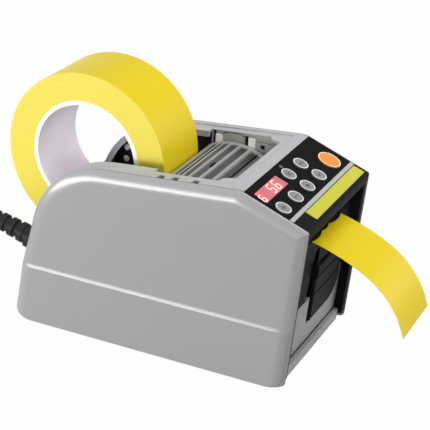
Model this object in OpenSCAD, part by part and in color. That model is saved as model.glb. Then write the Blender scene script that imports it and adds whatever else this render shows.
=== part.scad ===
// Electric tape dispenser: feeds tape from a roll over guide rollers and cuts it to length.
// Millimetres, +Z up. The table is Z = 0 and the tape leaves towards -Y.

/* [Body] */
// Width across the flat outer faces of the side covers
body_w = 118; // [116:0.5:124]
// Length from the nose (front top corner) to the rear bottom corner
body_len = 219; // [215:0.5:235]
// Height of the body without feet, where the deck meets the top
body_h = 134.1; // [132:0.1:140]
// Height of the nose above the bottom edge
nose_h = 115.6; // [113:0.1:118]
// How far the bottom edge sits behind the nose
nose_lean = 10; // [8:0.5:12]
// Length of the sloping deck, measured along Y
deck_len = 48; // [47:0.5:52]
// Height of the rear top corner before rounding
tail_h = 123.2; // [121:0.1:126]
// Radius of the rear top corner
tail_r = 60; // [50:1:62]
// How far the rear top corner sits in front of the rear bottom corner
tail_in = 28.8; // [26:0.1:30]
// Height of the crease low on the side covers
crease_h = 42.5; // [38:0.5:46]
// How far the crease sits in front of the rear bottom corner
crease_in = 7.1; // [5:0.1:9]
// Height of the rubber feet
foot_h = 2.5; // [2:0.1:5]

/* [Covers and case] */
// Wall thickness of the side covers
cover_wall = 2.5; // [2:0.1:3]
// Depth of a side cover from its inner edge to its face
cover_depth = 4.6; // [4:0.1:5]
// How far the bevelled edge of a cover reaches in from its outline
cover_bevel = 7; // [5:0.1:8]
// How far the skirt below the crease stands proud
skirt_proud = 0.8; // [0.4:0.1:1.2]
// Gap between the case and a side cover
groove = 0.6; // [0.3:0.1:1]
// Distance from a cover's face to the roll well
well_in = 20.5; // [19:0.5:22]
// Distance from a cover's face to the hood bay
bay_in = 15.5; // [15:0.5:16]
// Width of the raised band on the rails, beside the cover
band_w = 4.7; // [4:0.1:5.5]
// Thickness of the case skin
case_t = 2.5; // [2:0.1:3]
// Thickness of the case under the keypad
deck_t = 4.5; // [4:0.1:6]
// Thickness of the black side frames
frame_t = 2.5; // [2:0.1:3]
// Distance from a cover's face to the inner face of a side frame
frame_in = 12.5; // [12:0.1:12.5]
// Thickness of the front panels
panel_t = 2.5; // [2:0.1:3]
// How far the front panel sits behind the front edges of the covers
panel_in = 7.5; // [6:0.5:8]

/* [Tape] */
// Outer radius of the tape roll
roll_r = 61; // [55:0.5:61]
// Bore radius of the tape core, half of a 3 inch core
core_r = 38; // [37.8:0.1:38.4]
// Wall thickness of the tape core
core_t = 3.4; // [2:0.1:4]
// Width of the tape
tape_w = 50.8; // [40:0.1:52]
// Thickness of the tape
tape_t = 0.3; // [0.2:0.05:0.4]
// Radius of the first bend of the tape length
bend_a_r = 146; // [120:1:200]
// Radius of the second bend of the tape length
bend_b_r = 64; // [60:1:68]

/* [Rollers] */
// Radius of the rollers that carry the roll
support_r = 8; // [7:0.1:8.5]
// Radius of the guide rollers under the hood
guide_r = 6; // [5:0.1:6.5]
// Radius of the rubber feed roller
feed_r = 9; // [8.5:0.1:9.2]
// Radius of the pinch roller above it
pinch_r = 7; // [6:0.1:7.2]
// Half length of the rollers
roller_half = 30; // [28:0.5:34]
// Slope of the tape where it leaves, in degrees
exit_slope = 12; // [10:0.5:13]
// Gap between the tape and the rollers it passes
tape_gap = 0.12; // [0.1:0.01:0.2]
// Radial running clearance of shafts in their bores
run_gap = 0.05; // [0.02:0.01:0.1]

/* [Drive and cutter] */
// Teeth of the feed gear, module 1
gear_teeth = 40; // [38:1:40]
// Teeth of the motor pinion
pinion_teeth = 12; // [10:1:12]
// Lift of the moving blade
blade_lift = 7; // [6:0.1:7]
// Angle of the cam over which the blade lifts
cam_sweep = 150; // [140:1:150]
// Base radius of the cutter cam
cam_r = 10; // [9:0.1:10]

/* [Keypad and hood] */
// Length of the keypad down the deck
keypad_len = 34; // [33:0.1:34]
// Radius of the small buttons
button_r = 5.5; // [4.5:0.1:5.6]
// Radius of the start button
start_r = 8.35; // [7.5:0.05:8.5]
// How far the buttons stand out
button_out = 0.8; // [0.6:0.1:1.2]
// Outer radius of the hood arch
hood_r = 43.2; // [43:0.1:43.4]
// Thickness of the hood shell
hood_t = 2.5; // [2:0.1:3]

/* [Mains lead] */
// Radius of the mains lead
cord_r = 3.5; // [3:0.1:3.5]
// Radius of the bends from the boot down to the table
lead_bend = 55; // [50:1:60]
// Inner radius of the coil
coil_r = 29; // [29:0.5:32]
// Spacing of the turns in the coil
coil_pitch = 7.6; // [7.6:0.1:8.2]

/* [Hidden] */
$fn = 48;
GREY = [0.66, 0.66, 0.66];
BLACK = [0.17, 0.17, 0.18];
STEEL = [0.74, 0.75, 0.77];
YELLOW = [0.93, 0.84, 0.25];
WHITE = [0.93, 0.93, 0.9];
GREEN = [0.1, 0.35, 0.2];

// Outline of the body as seen from the side: corners [y, z, radius]
nose_y = -90.5;
tail_y = nose_y + body_len;
floor_z = foot_h + 3;
S = [[tail_y, foot_h, 5], [tail_y - crease_in, foot_h + crease_h, 0],
  [tail_y - tail_in, foot_h + tail_h, tail_r], [nose_y + deck_len, foot_h + body_h, 18],
  [nose_y, foot_h + nose_h, 1.6], [nose_y + nose_lean, foot_h, 4]];
// The same outline drawn on below the table, for edges that run out at the bottom
toe_slope = nose_lean / nose_h;
heel_slope = crease_in / crease_h;
S_long = [[tail_y + 20 * heel_slope, foot_h - 20, 0], S[1], S[2], S[3], S[4],
  [nose_y + nose_lean + 20 * toe_slope, foot_h - 20, 0]];
crease_z = foot_h + crease_h;
split_z = crease_z + 2.5;

// Layers across the width
face_x = body_w / 2;
cover_x = face_x - cover_depth;
rail_x = cover_x - groove;
well_x = face_x - well_in;
bay_x = face_x - bay_in;
frame_x = face_x - frame_in;
band_x = cover_x - band_w;
frame_out = frame_x + frame_t;
panel_x = frame_out + 0.7;
cheek_x = frame_out + 1;

// Deck and keypad
lean = atan(toe_slope);
deck_tilt = atan((body_h - nose_h) / deck_len);
deck_dir = [-cos(deck_tilt), -sin(deck_tilt)];
keypad_at = [nose_y + deck_len, foot_h + body_h] + 2.2 * deck_dir;
cover_top_y = nose_y + 11.4;
bay_front = nose_y + 59.5;
bay_rear = tail_y - 104;
front_y = nose_y + nose_lean + panel_in;
function deck_z(y) = foot_h + body_h + (y - nose_y - deck_len) * tan(deck_tilt);

// Rollers and tape path, as [y, z]
roll_at = [tail_y - 41, 120];
support_far = roll_r + support_r + 0.3;
support_front = roll_at + support_far * [-sin(38), -cos(38)];
support_rear = roll_at + support_far * [sin(12.5), -cos(12.5)];
guide_rear = [roll_at[0] - 69, 106.5];
guide_front = [guide_rear[0] - 25.3, 104.2];
guide_shaft_r = 1.6;
feed_at = [-46.6, 95.4];
web_off = tape_gap + tape_t / 2;
pinch_at = feed_at + (feed_r + pinch_r + 2 * web_off) * [-sin(exit_slope), cos(exit_slope)];
gear_mid = (gear_teeth + pinion_teeth) / 2 + 0.15;
pinion_dir = [cos(-59.9), sin(-59.9)];
pinion_at = feed_at + gear_mid * pinion_dir;
half_tape = tape_w / 2;

// Cutter
cam_at = [-45, 52];
blade_y = -64.4;
rod_at = [frame_x - 6.5, -65.5];
bridge_top = deck_z(-60.1) - 12.8;
rod_r = 3;
web_end = -63.8;
tongue_start = -66.5;
tongue_bend = -77.6;
arm_x = [15.5, 23.5] - [frame_x, frame_x];
nose_at = [cam_at[0], cam_at[1] + cam_r + 3.4];

// Hood
hood_at = [4.5, 82];
hood_pin = [-20.5, 114.5];
hood_half = bay_x - 1.5;
block_y = 2.6;
blocks = [[guide_rear, 128.2], [guide_front, 130.1]];
arch = [[15.6, 130], [12.2, 130.9], [8.5, 131.5], [5, 131.6], [1.5, 131.2], [-1.5, 130]];

// Screws that hold the covers, as [y, z]
screws = [[-55, 25], [95, 25], [93.5, foot_h + tail_h - 23.7], [94, foot_h + tail_h - 32.7]];
post_x = frame_x - 10.5;
posts = [for (y = [15, 95], x = [-post_x, post_x]) [x, y]];
control_posts = [for (y = [-55, -8], x = [-post_x, post_x]) [x, y]];

function unit(v) = v / norm(v);
function at2(c, i) = let (p = c[(i + len(c)) % len(c)]) [p[0], p[1]];
function bis(c, i) = unit(unit(at2(c, i - 1) - at2(c, i)) + unit(at2(c, i + 1) - at2(c, i)));
function half_sin(c, i) = let (u = unit(at2(c, i - 1) - at2(c, i)), b = bis(c,
  i)) abs(u[0] * b[1] - u[1] * b[0]);
// Corners moved inward by d
function inset(c, d) = [for (i = [0:len(c) - 1])
  let (q = at2(c, i) + bis(c, i) * d / half_sin(c, i)) [q[0], q[1], max(c[i][2] - d, 0)]];
function turn(a) = a > 180 ? a - 360 : a < -180 ? a + 360 : a;
function corner(c, i) = let (q = at2(c, i), r = c[i][2], b = bis(c, i), s = half_sin(c, i))
  r <= 0 ? [q] :
  let (k = q + b * r / s, t = r * sqrt(1 - s * s) / s,
    a = q + unit(at2(c, i - 1) - q) * t - k, e = q + unit(at2(c, i + 1) - q) * t - k,
    a0 = atan2(a[1], a[0]), d = turn(atan2(e[1], e[0]) - a0), n = max(2, ceil(abs(d) / 6)))
  [for (j = [0:n]) k + r * [cos(a0 + d * j / n), sin(a0 + d * j / n)]];
// Closed outline with its corners rounded
function outline(c) = [for (i = [0:len(c) - 1]) each corner(c, i)];

// A flat shape given in [y, z], drawn out from x0 to x1
module across(x0, x1) translate([x0, 0, 0]) rotate([90, 0, 90]) linear_extrude(x1 - x0) children();
module body(d = 0) polygon(outline(inset(S, d)));
module rod(x0, x1, at, r) translate([x0, at[0], at[1]]) rotate([0, 90, 0]) cylinder(r = r, h = x1 - x0);
module block(lo, hi) translate(lo) cube(hi - lo);
module both() { children(); mirror([1, 0, 0]) children(); }
module side(s) { if (s > 0) children(); else mirror([1, 0, 0]) children(); }
// Frame of the front panel: x, depth, height along the leaning panel
module on_front() translate([0, front_y, foot_h]) rotate([lean, 0, 0]) children();
module upright(y0, y1) translate([0, y1, 0]) rotate([90, 0, 0]) linear_extrude(y1 - y0) children();
// Frame of the keypad: x, minus the way down the deck, height above the deck
module on_deck() translate([0, keypad_at[0], keypad_at[1]]) rotate([deck_tilt, 0, 0]) children();
module wedge(r, a0, a1) polygon([[0, 0], for (j = [0:6]) let (a = a0 + (a1 - a0) * j / 6) r * [sin(a),
  cos(a)]]);

// Side covers
module cover_slab(x, d) across(x, x + 0.02) polygon(outline(inset(S_long, d)));
module skirt_slab(x, d, top) across(x, x + 0.02) intersection() {
  polygon(outline(inset(S_long, d)));
  translate([nose_y - 20, foot_h - 30]) square([body_len + 40, top - foot_h + 30]);
}
// Edge of a cover in shares of its depth and bevel: a slope between two soft bends
edge = [[0.05, 0], [0.21, 0.05], [0.35, 0.157], [0.57, 0.372], [0.75, 0.62], [0.89, 0.9], [0.96, 1.12],
  [1, 1.5]];
module cover() {
  difference() {
    intersection() {
      union() {
        hull() {
          cover_slab(cover_x, 0);
          for (e = edge) cover_slab(cover_x + cover_depth * e[0] - 0.02, cover_bevel * e[1]);
        }
        hull() {
          skirt_slab(cover_x, 0, crease_z + 1);
          for (e = edge) skirt_slab(cover_x + cover_depth * e[0] - 0.02, cover_bevel * e[1],
            crease_z + 1.5);
          for (e = edge) if (e[0] > 0.5)
            skirt_slab(cover_x + (cover_depth + skirt_proud) * e[0] - 0.02, cover_bevel * e[1],
              crease_z - 1);
        }
      }
      across(cover_x - 1, face_x + 5) body();
    }
    hull() {
      cover_slab(cover_x - 1, cover_wall);
      cover_slab(cover_x + 0.4, cover_wall);
      cover_slab(face_x - cover_wall - 0.02, cover_bevel + cover_wall);
    }
  }
  across(cover_x, face_x - 1) difference() {
    body(0.6);
    body(cover_wall + 1);
    translate([nose_y, floor_z]) square(400);
    translate([nose_y, 0]) square([nose_lean + 5, 50]);
    translate([tail_y - 5, 0]) square([50, 50]);
  }
  for (p = screws) difference() {
    rod(frame_out, face_x - 1, p, 4);
    rod(frame_out - 1, face_x - 2.5, p, 1.5);
  }
}
module side_cover_left() color(GREY) side(-1) cover();
module side_cover_right() color(GREY) side(1) cover();
module cover_screws() color(STEEL) both() for (p = screws) {
  rod(frame_x - 1.6, frame_x, p, 2.4);
  rod(frame_x - 0.5, frame_out + 4, p, 1.4);
}

// Case with rails, hood bay and deck
module skin(d) difference() { body(); body(d); }
module top_case() color(GREY) difference() {
  union() {
    difference() {
      union() {
        intersection() {
          across(-rail_x, rail_x) skin(case_t);
          block([-60, cover_top_y, split_z], [60, tail_y + 5, 200]);
        }
        intersection() {
          across(-rail_x, rail_x) skin(deck_t);
          block([-60, cover_top_y, 100], [60, bay_front, 200]);
        }
        both() intersection() {
          across(well_x, well_x + 2.5) skin(5);
          block([0, bay_rear, split_z], [60, tail_y + 5, 200]);
        }
      }
      block([-well_x, bay_rear, 0], [well_x, tail_y + 20, 200]);
      block([-bay_x, bay_front, 0], [bay_x, bay_rear + 0.01, 200]);
    }
    intersection() {
      union() {
        both() block([bay_x, bay_front - 3, 92], [frame_x, bay_rear, 200]);
        block([-frame_x, bay_front - 3, 114], [frame_x, bay_front, 200]);
      }
      across(-60, 60) body(1);
    }
    both() intersection() {
      across(bay_x - 9, frame_x) skin(case_t);
      translate([0, 0, 100]) linear_extrude(100) polygon([[bay_x + 1, bay_front - 1],
        [bay_x + 1, bay_front + 9.6], [bay_x, bay_front + 9.6], [bay_x - 5.2, bay_front + 8],
        [bay_x - 8.4, bay_front], [bay_x - 8.4, bay_front - 1]]);
    }
  }
  both() {
    for (b = blocks)
      block([bay_x - 1, b[0][0] - block_y - 0.1, 80], [frame_x + 0.1, b[0][0] + block_y + 0.1, b[1] + 0.8]);
    for (y = [guide_rear[0] + 4, guide_front[0] + 4.6])
      block([bay_x - 1, y - 1.4, 100], [frame_x + 0.1, y + 1.4, 130.7]);
    across(bay_x - 1, bay_x + 2) polygon([for (p = arch) p, for (i = [len(arch) - 1:-1:0]) arch[i] - [0,
      0.9]]);
    block([bay_x - 1, -16.4, 122.6], [frame_x + 0.1, -12.8, 126.2]);
    block([bay_x - 1, bay_front + 3, 127.9], [bay_x + 0.8, -11, 128.6]);
    rod(bay_x - 1, frame_x + 1, hood_pin, 2 + run_gap);
  }
  for (y = [15.3, 5.2, -9.5]) block([-rail_x - 1, y - 2.5, 118], [-band_x + 1.4, y + 2.5, 200]);
  intersection() {
    across(-band_x, band_x) skin(0.6);
    translate([0, 0, 90]) linear_extrude(100) band_inside();
  }
  on_deck() {
    block([-60, -keypad_len - 0.15, -2], [60, 0.15, 10]);
    block([-board_x - 1, -keypad_len + 2, -12], [board_x + 1, -2, 1]);
    for (k = keys) translate([k[1], -k[2], -12]) cylinder(r = button_r + 1.2, h = 13);
    translate([start_at[0], -start_at[1], -12]) cylinder(r = start_r + 1.2, h = 13);
  }
  on_boot() {
    translate([0, 0, -8]) cylinder(r = 5.05, h = 12);
    translate([0, 0, -9]) cylinder(r = 7.3, h = 8.8 - case_t);
  }
}
// What lies inside the raised band, seen from above
module band_inside() {
  y0 = bay_front - 5;
  translate([-band_x, y0 + 4]) square([2 * band_x, 300]);
  translate([-band_x + 4, y0]) square([2 * band_x - 8, 10]);
  for (x = [-band_x + 4, band_x - 4]) translate([x, y0 + 4]) circle(4);
}
module rear_panel() color(GREY) intersection() {
  across(-rail_x, rail_x) skin(case_t);
  block([-60, tail_y - 20, floor_z], [60, tail_y + 5, split_z - 0.3]);
}

// Base
module base_tray() color(GREY) {
  intersection() {
    across(-cover_x + 0.3, cover_x - 0.3) intersection() { body(); translate([nose_y, 0]) square([400,
      floor_z]); }
    block([-60, front_y - 0.2, 0], [60, tail_y + 5, 20]);
  }
  on_front() upright(-3.6, -0.6) translate([-panel_x, 0]) square([2 * panel_x, parting_z - 0.25]);
  on_front() block([-panel_x, -1, 0], [panel_x, 3, 2.5]);
  for (p = posts) standoff(p);
  for (p = control_posts) standoff(p);
}
module standoff(p) translate([p[0], p[1], floor_z - 0.5]) difference() {
  cylinder(r = 3.2, h = 6.5);
  translate([0, 0, 1.5]) cylinder(r = 1.3, h = 10);
}
module rubber_feet() color(BLACK) for (x = [17 - face_x, face_x - 17], y = [front_y + 14, tail_y - 18])
  translate([x, y, 0]) cylinder(r1 = 7.4, r2 = 8, h = foot_h);

// Side frames
module frame_plate(s) side(s) difference() {
  across(frame_x, frame_out) intersection() {
    body(deck_t + 0.3);
    polygon([[front_y + panel_t / cos(lean) - (floor_z - foot_h) * toe_slope, floor_z], [200, floor_z],
      [200, 200],
      [front_y + panel_t / cos(lean) - (200 - foot_h) * toe_slope, 200]]);
  }
  for (p = screws) rod(frame_x - 1, frame_out + 1, p, 1.6);
  for (p = [support_front, support_rear, feed_at]) rod(frame_x - 1, frame_out + 1, p, 3 + run_gap);
  rod(frame_x - 1, frame_out + 1, pinch_at, 2.5 + run_gap);
  if (s > 0) rod(frame_x - 1, frame_out + 1, pinion_at, 4);
  on_deck() block([frame_x - 6.5, -keypad_len + 1, -11], [60, -1, 5]);
}
module frame_plate_left() color(BLACK) difference() {
  frame_plate(-1);
  on_boot() translate([0, 0, -16]) cylinder(r = 7.5, h = 20);
}
module frame_plate_right() color(BLACK) frame_plate(1);
module well_tray() color(BLACK) difference() {
  block([-frame_x, -5, crease_z - 3], [frame_x, tail_y - 12.5, crease_z - 1]);
  for (x = [-30:15:30]) block([x - 2, 30, 0], [x + 2, 90, 100]);
}

// Front
face_top = [nose_y + 0.9, foot_h + nose_h - 2.6];
face_low = [nose_y + 9.3, 98.7];
table_x = frame_x - 2.5;
lip_y = nose_y + 9.2;
face_len = norm(face_top - face_low);
parting_z = 8.6;
pin_at = [-5.6, 0.2];
door_x = panel_x - 5.4;
door_r = 18;
face_tilt = atan2(face_low[0] - face_top[0], face_top[1] - face_low[1]);
module lobe(x0, x1, sag) {
  w = (x1 - x0) / 2;
  r = (w * w + sag * sag) / (2 * sag);
  translate([(x0 + x1) / 2, 0]) intersection() {
    translate([0, r - sag]) circle(r, $fn = 96);
    translate([-w - 6, -sag - 1]) square([2 * w + 12, sag + 2]);
  }
}
module front_cover() color(BLACK) {
  intersection() {
    across(-rail_x, rail_x) skin(3);
    block([-60, nose_y - 5, foot_h + nose_h - 6], [60, cover_top_y - 0.3, 200]);
  }
  translate([0, face_low[0], face_low[1]]) rotate([face_tilt, 0, 0]) upright(0, 2.6) {
    translate([-table_x, 0]) square([2 * table_x, face_len]);
  }
  translate([0, lip_y, exit_z(lip_y) + 0.6]) rotate([exit_slope, 0, 0]) linear_extrude(1.2) {
    translate([-30, 0]) square([60, 3]);
    lobe(-28.5, -7.3, 2.1);
    lobe(-7.7, 4.5, 1.5);
    lobe(4.1, 27.5, 2.5);
  }
  both() {
    across(cheek_x, rail_x) difference() {
      body(1);
      translate([9, 0]) body(1);
      translate([nose_y - 20, 0]) square([400, foot_h + 4.5]);
      translate([nose_y - 20, foot_h + nose_h - 3]) square(400);
      translate([0, 0]) square(400);
    }
    block([cheek_x, -79, 60], [cheek_x + 2, -72, 70]);
    block([frame_out, -75, 60], [cheek_x + 0.1, -72, 70]);
  }
}
module label_strip() color(YELLOW) on_deck()
  translate([18.1 - rail_x, -keypad_len - 12.4, 0.01]) cube([2 * rail_x - 20.9, 8.6, 0.25]);
module front_panel() color(BLACK) on_front() {
  difference() {
    upright(0, panel_t) difference() {
      translate([-panel_x, 45.8]) square([2 * panel_x, 48]);
      slot_shape();
      translate([-9.2, 0]) square([door_x + 9.6, 69]);
    }
  }
  difference() {
    block([-20.5, panel_t, 20], [-1.5, 7, 86.5]);
    upright(-1, 5.5) slot_shape();
    block([-9.2, -1, 24], [2, 5.5, 69]);
  }
  difference() {
    for (z = [26, 64.4]) {
      translate([pin_at[0], pin_at[1], z]) cylinder(r = 1.9, h = 2.6);
      block([pin_at[0] - 1.9, pin_at[1], z], [pin_at[0] + 1.9, 5.6, z + 2.6]);
    }
    translate([pin_at[0], pin_at[1], 0]) cylinder(r = 1.02, h = 100);
  }
  rotate([90, 0, 90]) translate([0, 0, -10]) linear_extrude(1.6) {
    translate([0.5, 69.5]) intersection() { circle(4); translate([-4, 0]) square(4); }
    translate([-3.5, 61]) square([9.3, 8.6]);
    translate([0.5, 61]) square([5.3, 12.5]);
  }
  on_exit() block([-table_x, -6.6, -3], [table_x, 4, -0.6]);
}
// Frame of the exit table: under the tape where it leaves
module on_exit() rotate([-lean, 0, 0]) translate([0, -front_y, -foot_h]) translate([0, -75, exit_z(-75)])
  rotate([exit_slope, 0, 0]) children();
// Upright slot beside the door: wide in the black panel, narrow and rounded in the grey one
module slot_shape() {
  polygon([[-18, 45], [-12, 82], [-4, 82], [-4, 45]]);
  translate([-9.2, 26.5]) square([5.2, 30]);
  translate([-6.3, 26.5]) circle(2.9);
}
module door_shape(d, x0) difference() {
  translate([x0, 25 + d]) square([door_x - d - x0, 43.5 - 2 * d]);
  translate([door_x - door_r, 25 + door_r]) difference() {
    translate([0, -door_r - 5]) square([door_r + 5, door_r + 5]);
    circle(door_r - d);
  }
}
module front_lower_panel() color(GREY) on_front() upright(0, panel_t) difference() {
  translate([-panel_x, parting_z + 0.25]) square([2 * panel_x, 45.5 - parting_z - 0.25]);
  slot_shape();
  difference() {
    translate([-9.2, 25]) square([door_x + 9.2, 60]);
    translate([door_x - door_r, 25 + door_r]) difference() {
      translate([0, -door_r - 5]) square([door_r + 5, door_r + 5]);
      circle(door_r);
    }
    translate([-12, 20]) square([6, 6.5]);
  }
}
module cutter_door() color(BLACK) on_front() difference() {
  union() {
    upright(-0.8, 1.7) door_shape(0.6, pin_at[0]);
    upright(-1.5, -0.7) difference() { door_shape(1.4, pin_at[0]); for (z = [45.3, 57.8]) translate([-9,
      z]) square([70, 1.4]); }
    translate([pin_at[0], pin_at[1], 28.8]) cylinder(r = 2, h = 35.4);
  }
  translate([pin_at[0], pin_at[1], 0]) cylinder(r = 1.05, h = 100);
  for (z = [24, 64.2]) block([-12, -3, z], [pin_at[0] + 2.9, 3, z + 4.8]);
}
module door_pin() color(STEEL) on_front() translate([pin_at[0], pin_at[1], 26]) cylinder(r = 1, h = 41);

// Keypad
key_x = 7.8 - rail_x;
start_at = [rail_x - 14.6, 23];
key_pitch = (start_at[0] - 25.2 - key_x) / 3;
keys = [["up_button", key_x + 3 * key_pitch + 0.2, 11.2], ["function_button", key_x + 2 * key_pitch - 0.2,
  11.2],
  ["down_button", key_x + 3 * key_pitch, 25.7], ["set_button", key_x + 2 * key_pitch - 0.3, 25.7],
  ["minus_button", key_x + key_pitch - 0.2, 25.7], ["plus_button", key_x, 25.7]];
board_x = rail_x - 3.8;
show_x = [3.8 - rail_x, keys[1][1] - 10.2];
module keypad_panel() color(BLACK) on_deck() {
  difference() {
    block([-rail_x, -keypad_len, -2], [rail_x, 0, 0]);
    for (k = keys) translate([k[1], -k[2], -3]) cylinder(r = button_r + 0.3, h = 6);
    translate([start_at[0], -start_at[1], -3]) cylinder(r = start_r + 0.3, h = 6);
    block([show_x[0] - 0.1, -15.8, -3], [show_x[1] + 0.1, -5.5, 3]);
    translate([-2.5, -3.6, -3]) cylinder(r = 1.15, h = 6);
  }
  for (p = [[key_x + key_pitch / 2, 25.7], [key_x + 2.5 * key_pitch, 18.5], [rail_x - 5.8, 6],
    [start_at[0] - 12.2, 29.5]]) translate([p[0], -p[1], -8.2]) cylinder(r = 1.5, h = 6.4);
}
module keypad_board() color(GREEN) on_deck() {
  block([-board_x, -31, -9.8], [board_x, -3, -8.2]);
  block([show_x[0] + 0.4, -15.3, -8.3], [show_x[1] - 0.4, -6, -2]);
  translate([-2.5, -3.6, -8.3]) cylinder(r = 1, h = 8.1);
  for (k = keys) switch(k[1], k[2]);
  switch(start_at[0], start_at[1]);
}
module switch(x, s) translate([x, -s, -8.3]) {
  translate([-3, -3, 0]) cube([6, 6, 3.6]);
  cylinder(r = 1.75, h = 4.1);
}
module display_window() color([0.5, 0.05, 0.06]) on_deck() block([show_x[0], -15.7, -2], [show_x[1], -5.6,
  0.05]);
module key(x, s, r) on_deck() translate([x, -s, 0]) {
  translate([0, 0, -2.6]) cylinder(r = r, h = 2.6 + button_out);
  translate([0, 0, -3.4]) cylinder(r = r + 0.8, h = 1);
}
module button(i) color([0.5, 0.5, 0.5]) key(keys[i][1], keys[i][2], button_r);
module start_button() color([0.88, 0.54, 0.12]) key(start_at[0], start_at[1], start_r);

// Hood
troughs = [[17.5, 20.8], [5.4, 8.6], [-4.6, 0.6], [-14.9, -9.4], [-24.8, -19.5]];
module hood() color([0.4, 0.4, 0.4]) {
  difference() {
    union() {
      across(-hood_half, hood_half) hood_arc(hood_r, hood_r - hood_t, -44, 28.6);
      both() across(hood_half - 1.6, hood_half) hood_arc(hood_r, hood_r - 6, -44, 28.6);
    }
    for (t = troughs) across(-hood_half + 3, hood_half - 3) hood_arc(hood_r + 1, hood_r - 1.1, t[0], t[1]);
    for (a = [-25.1, 13]) across(-hood_half + 5, hood_half - 5) hood_arc(hood_r + 5, hood_r - 8,
      a - 0.6, a + 0.6);
    translate([0, hood_at[0], hood_at[1]]) rotate([3, 0, 0]) block([-4, -1.4, 30], [4, 1.4, 60]);
  }
  both() rod(hood_half - 1, frame_x - 0.3, hood_pin, 2);
}
module hood_arc(r1, r0, a0, a1) translate(hood_at) intersection() {
  difference() { circle(r1, $fn = 120); circle(r0, $fn = 120); }
  wedge(r1 * 2, a0, a1);
}
module bearing_blocks() color(WHITE) both() for (b = blocks) difference() {
  block([bay_x - 1, b[0][0] - block_y, 97], [frame_x, b[0][0] + block_y, b[1]]);
  rod(bay_x - 2, frame_x - 0.3, b[0], guide_shaft_r + run_gap);
}

// Rollers
module roller(p, r, shaft_r, shaft_x) {
  rod(-roller_half, roller_half, p, r);
  rod(-shaft_x, shaft_x, p, shaft_r);
}
module guide_roller_rear() color(WHITE) roller(guide_rear, guide_r, guide_shaft_r, frame_x - 0.6);
module guide_roller_front() color(WHITE) roller(guide_front, guide_r, guide_shaft_r, frame_x - 0.6);
module support_roller_front() color(STEEL) roller(support_front, support_r, 3, frame_out - 0.2);
module support_roller_rear() color(STEEL) roller(support_rear, support_r, 3, frame_out - 0.2);
module sleeve(p, r, bore) difference() {
  rod(-roller_half, roller_half, p, r);
  rod(-roller_half - 1, roller_half + 1, p, bore);
}
module feed_shaft() color(STEEL) rod(-frame_out + 0.2, frame_out + 4.6, feed_at, 3);
module feed_sleeve() color(BLACK) sleeve(feed_at, feed_r, 3);
module pinch_shaft() color(STEEL) rod(-frame_out + 0.2, frame_out - 0.2, pinch_at, 2.5);
module pinch_sleeve() color(BLACK) sleeve(pinch_at, pinch_r, 2.5);
module teeth(n) {
  r = n / 2;
  polygon([for (i = [0:n - 1]) each [for (k = [[-0.85, r - 1.15], [-0.3, r + 0.8], [0.3, r + 0.8], [0.85,
    r - 1.15]])
    let (a = 360 * i / n + 57.3 * k[0] / k[1]) k[1] * [cos(a), sin(a)]]]);
}
module feed_gear() color(WHITE) difference() {
  across(frame_out + 1, frame_out + 4.6) translate(feed_at) rotate(-59.9) teeth(gear_teeth);
  rod(frame_out, frame_out + 10, feed_at, 3);
}
module motor_pinion() color(STEEL) {
  across(frame_out + 1, frame_out + 4.6) translate(pinion_at) rotate(120.1 + 180 / pinion_teeth)
    teeth(pinion_teeth);
  rod(frame_x - 5, frame_out + 1.5, pinion_at, 2);
}
module feed_motor() color(STEEL) difference() {
  union() {
    rod(-3.5, frame_x - 1, pinion_at, 14);
    rod(frame_x - 1.5, frame_x, pinion_at, 10);
  }
  rod(frame_x - 6, frame_x + 1, pinion_at, 2 + run_gap);
}

// Cutter
module fixed_blade() color(STEEL) across(14.5 - frame_x, frame_x - 14.5)
  polygon([[blade_y + 0.3, 102.2], [blade_y + 1.8, 105], [blade_y + 1.8, bridge_top - 3], [blade_y + 0.3,
    bridge_top - 3]]);
module moving_blade() color(STEEL) across(15.5 - frame_x, frame_x - 15.5)
  polygon([[blade_y, 84], [blade_y, 98.3], [blade_y - 1.5, 95.6], [blade_y - 1.5, 84]]);
module blade_carrier() color([0.3, 0.3, 0.32]) {
  difference() {
    union() {
      block([5 - rod_at[0], blade_y - 5, 80], [rod_at[0] - 5, blade_y - 1.5, 92]);
      both() block([rod_at[0] - 6, -70, 80], [frame_x - 0.5, -61, 92]);
    }
    both() translate([rod_at[0], rod_at[1], 0]) cylinder(r = rod_r + run_gap, h = 200);
  }
  block([arm_x[0], blade_y - 5, 67], [arm_x[1], blade_y - 1.5, 81]);
  block([arm_x[0], blade_y - 5, 67], [arm_x[1], -42, 73]);
  rod(arm_x[0], arm_x[1], nose_at, 3);
  block([arm_x[0], nose_at[0] - 3, nose_at[1]], [arm_x[1], nose_at[0] + 3, 68]);
}
module cutter_rods() color(STEEL) both() translate([rod_at[0], rod_at[1], 54]) cylinder(r = rod_r,
  h = bridge_top - 56.4);
module cutter_bridges() color([0.3, 0.3, 0.32]) difference() {
  union() {
    block([-frame_x, -62.6, bridge_top - 5], [frame_x, -57.6, bridge_top]);
    both() block([rod_at[0] - 7, -70, bridge_top - 7.4], [frame_x, -62, bridge_top - 2.4]);
    block([-frame_x, -70, 54], [frame_x, -61, 60]);
  }
  both() translate([rod_at[0], rod_at[1], 0]) cylinder(r = rod_r, h = 200);
}
module cutter_cam() color(WHITE) {
  across(arm_x[0] + 1, arm_x[1] - 1) translate(cam_at) polygon([for (p = [0:6:354]) let (r = p <= 160 ?
    cam_r + blade_lift * p / cam_sweep : p < 200 ? cam_r + blade_lift * 160 / cam_sweep * (200 - p) / 40 :
      cam_r)
    r * [sin(p), cos(p)]]);
  rod(arm_x[0] - 12, arm_x[1] - 0.5, cam_at, 2);
}
module cutter_motor() color(STEEL) difference() {
  rod(-frame_x, arm_x[0] - 2, cam_at, 12);
  rod(arm_x[0] - 12.3, arm_x[0], cam_at, 2 + run_gap);
}

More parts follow.
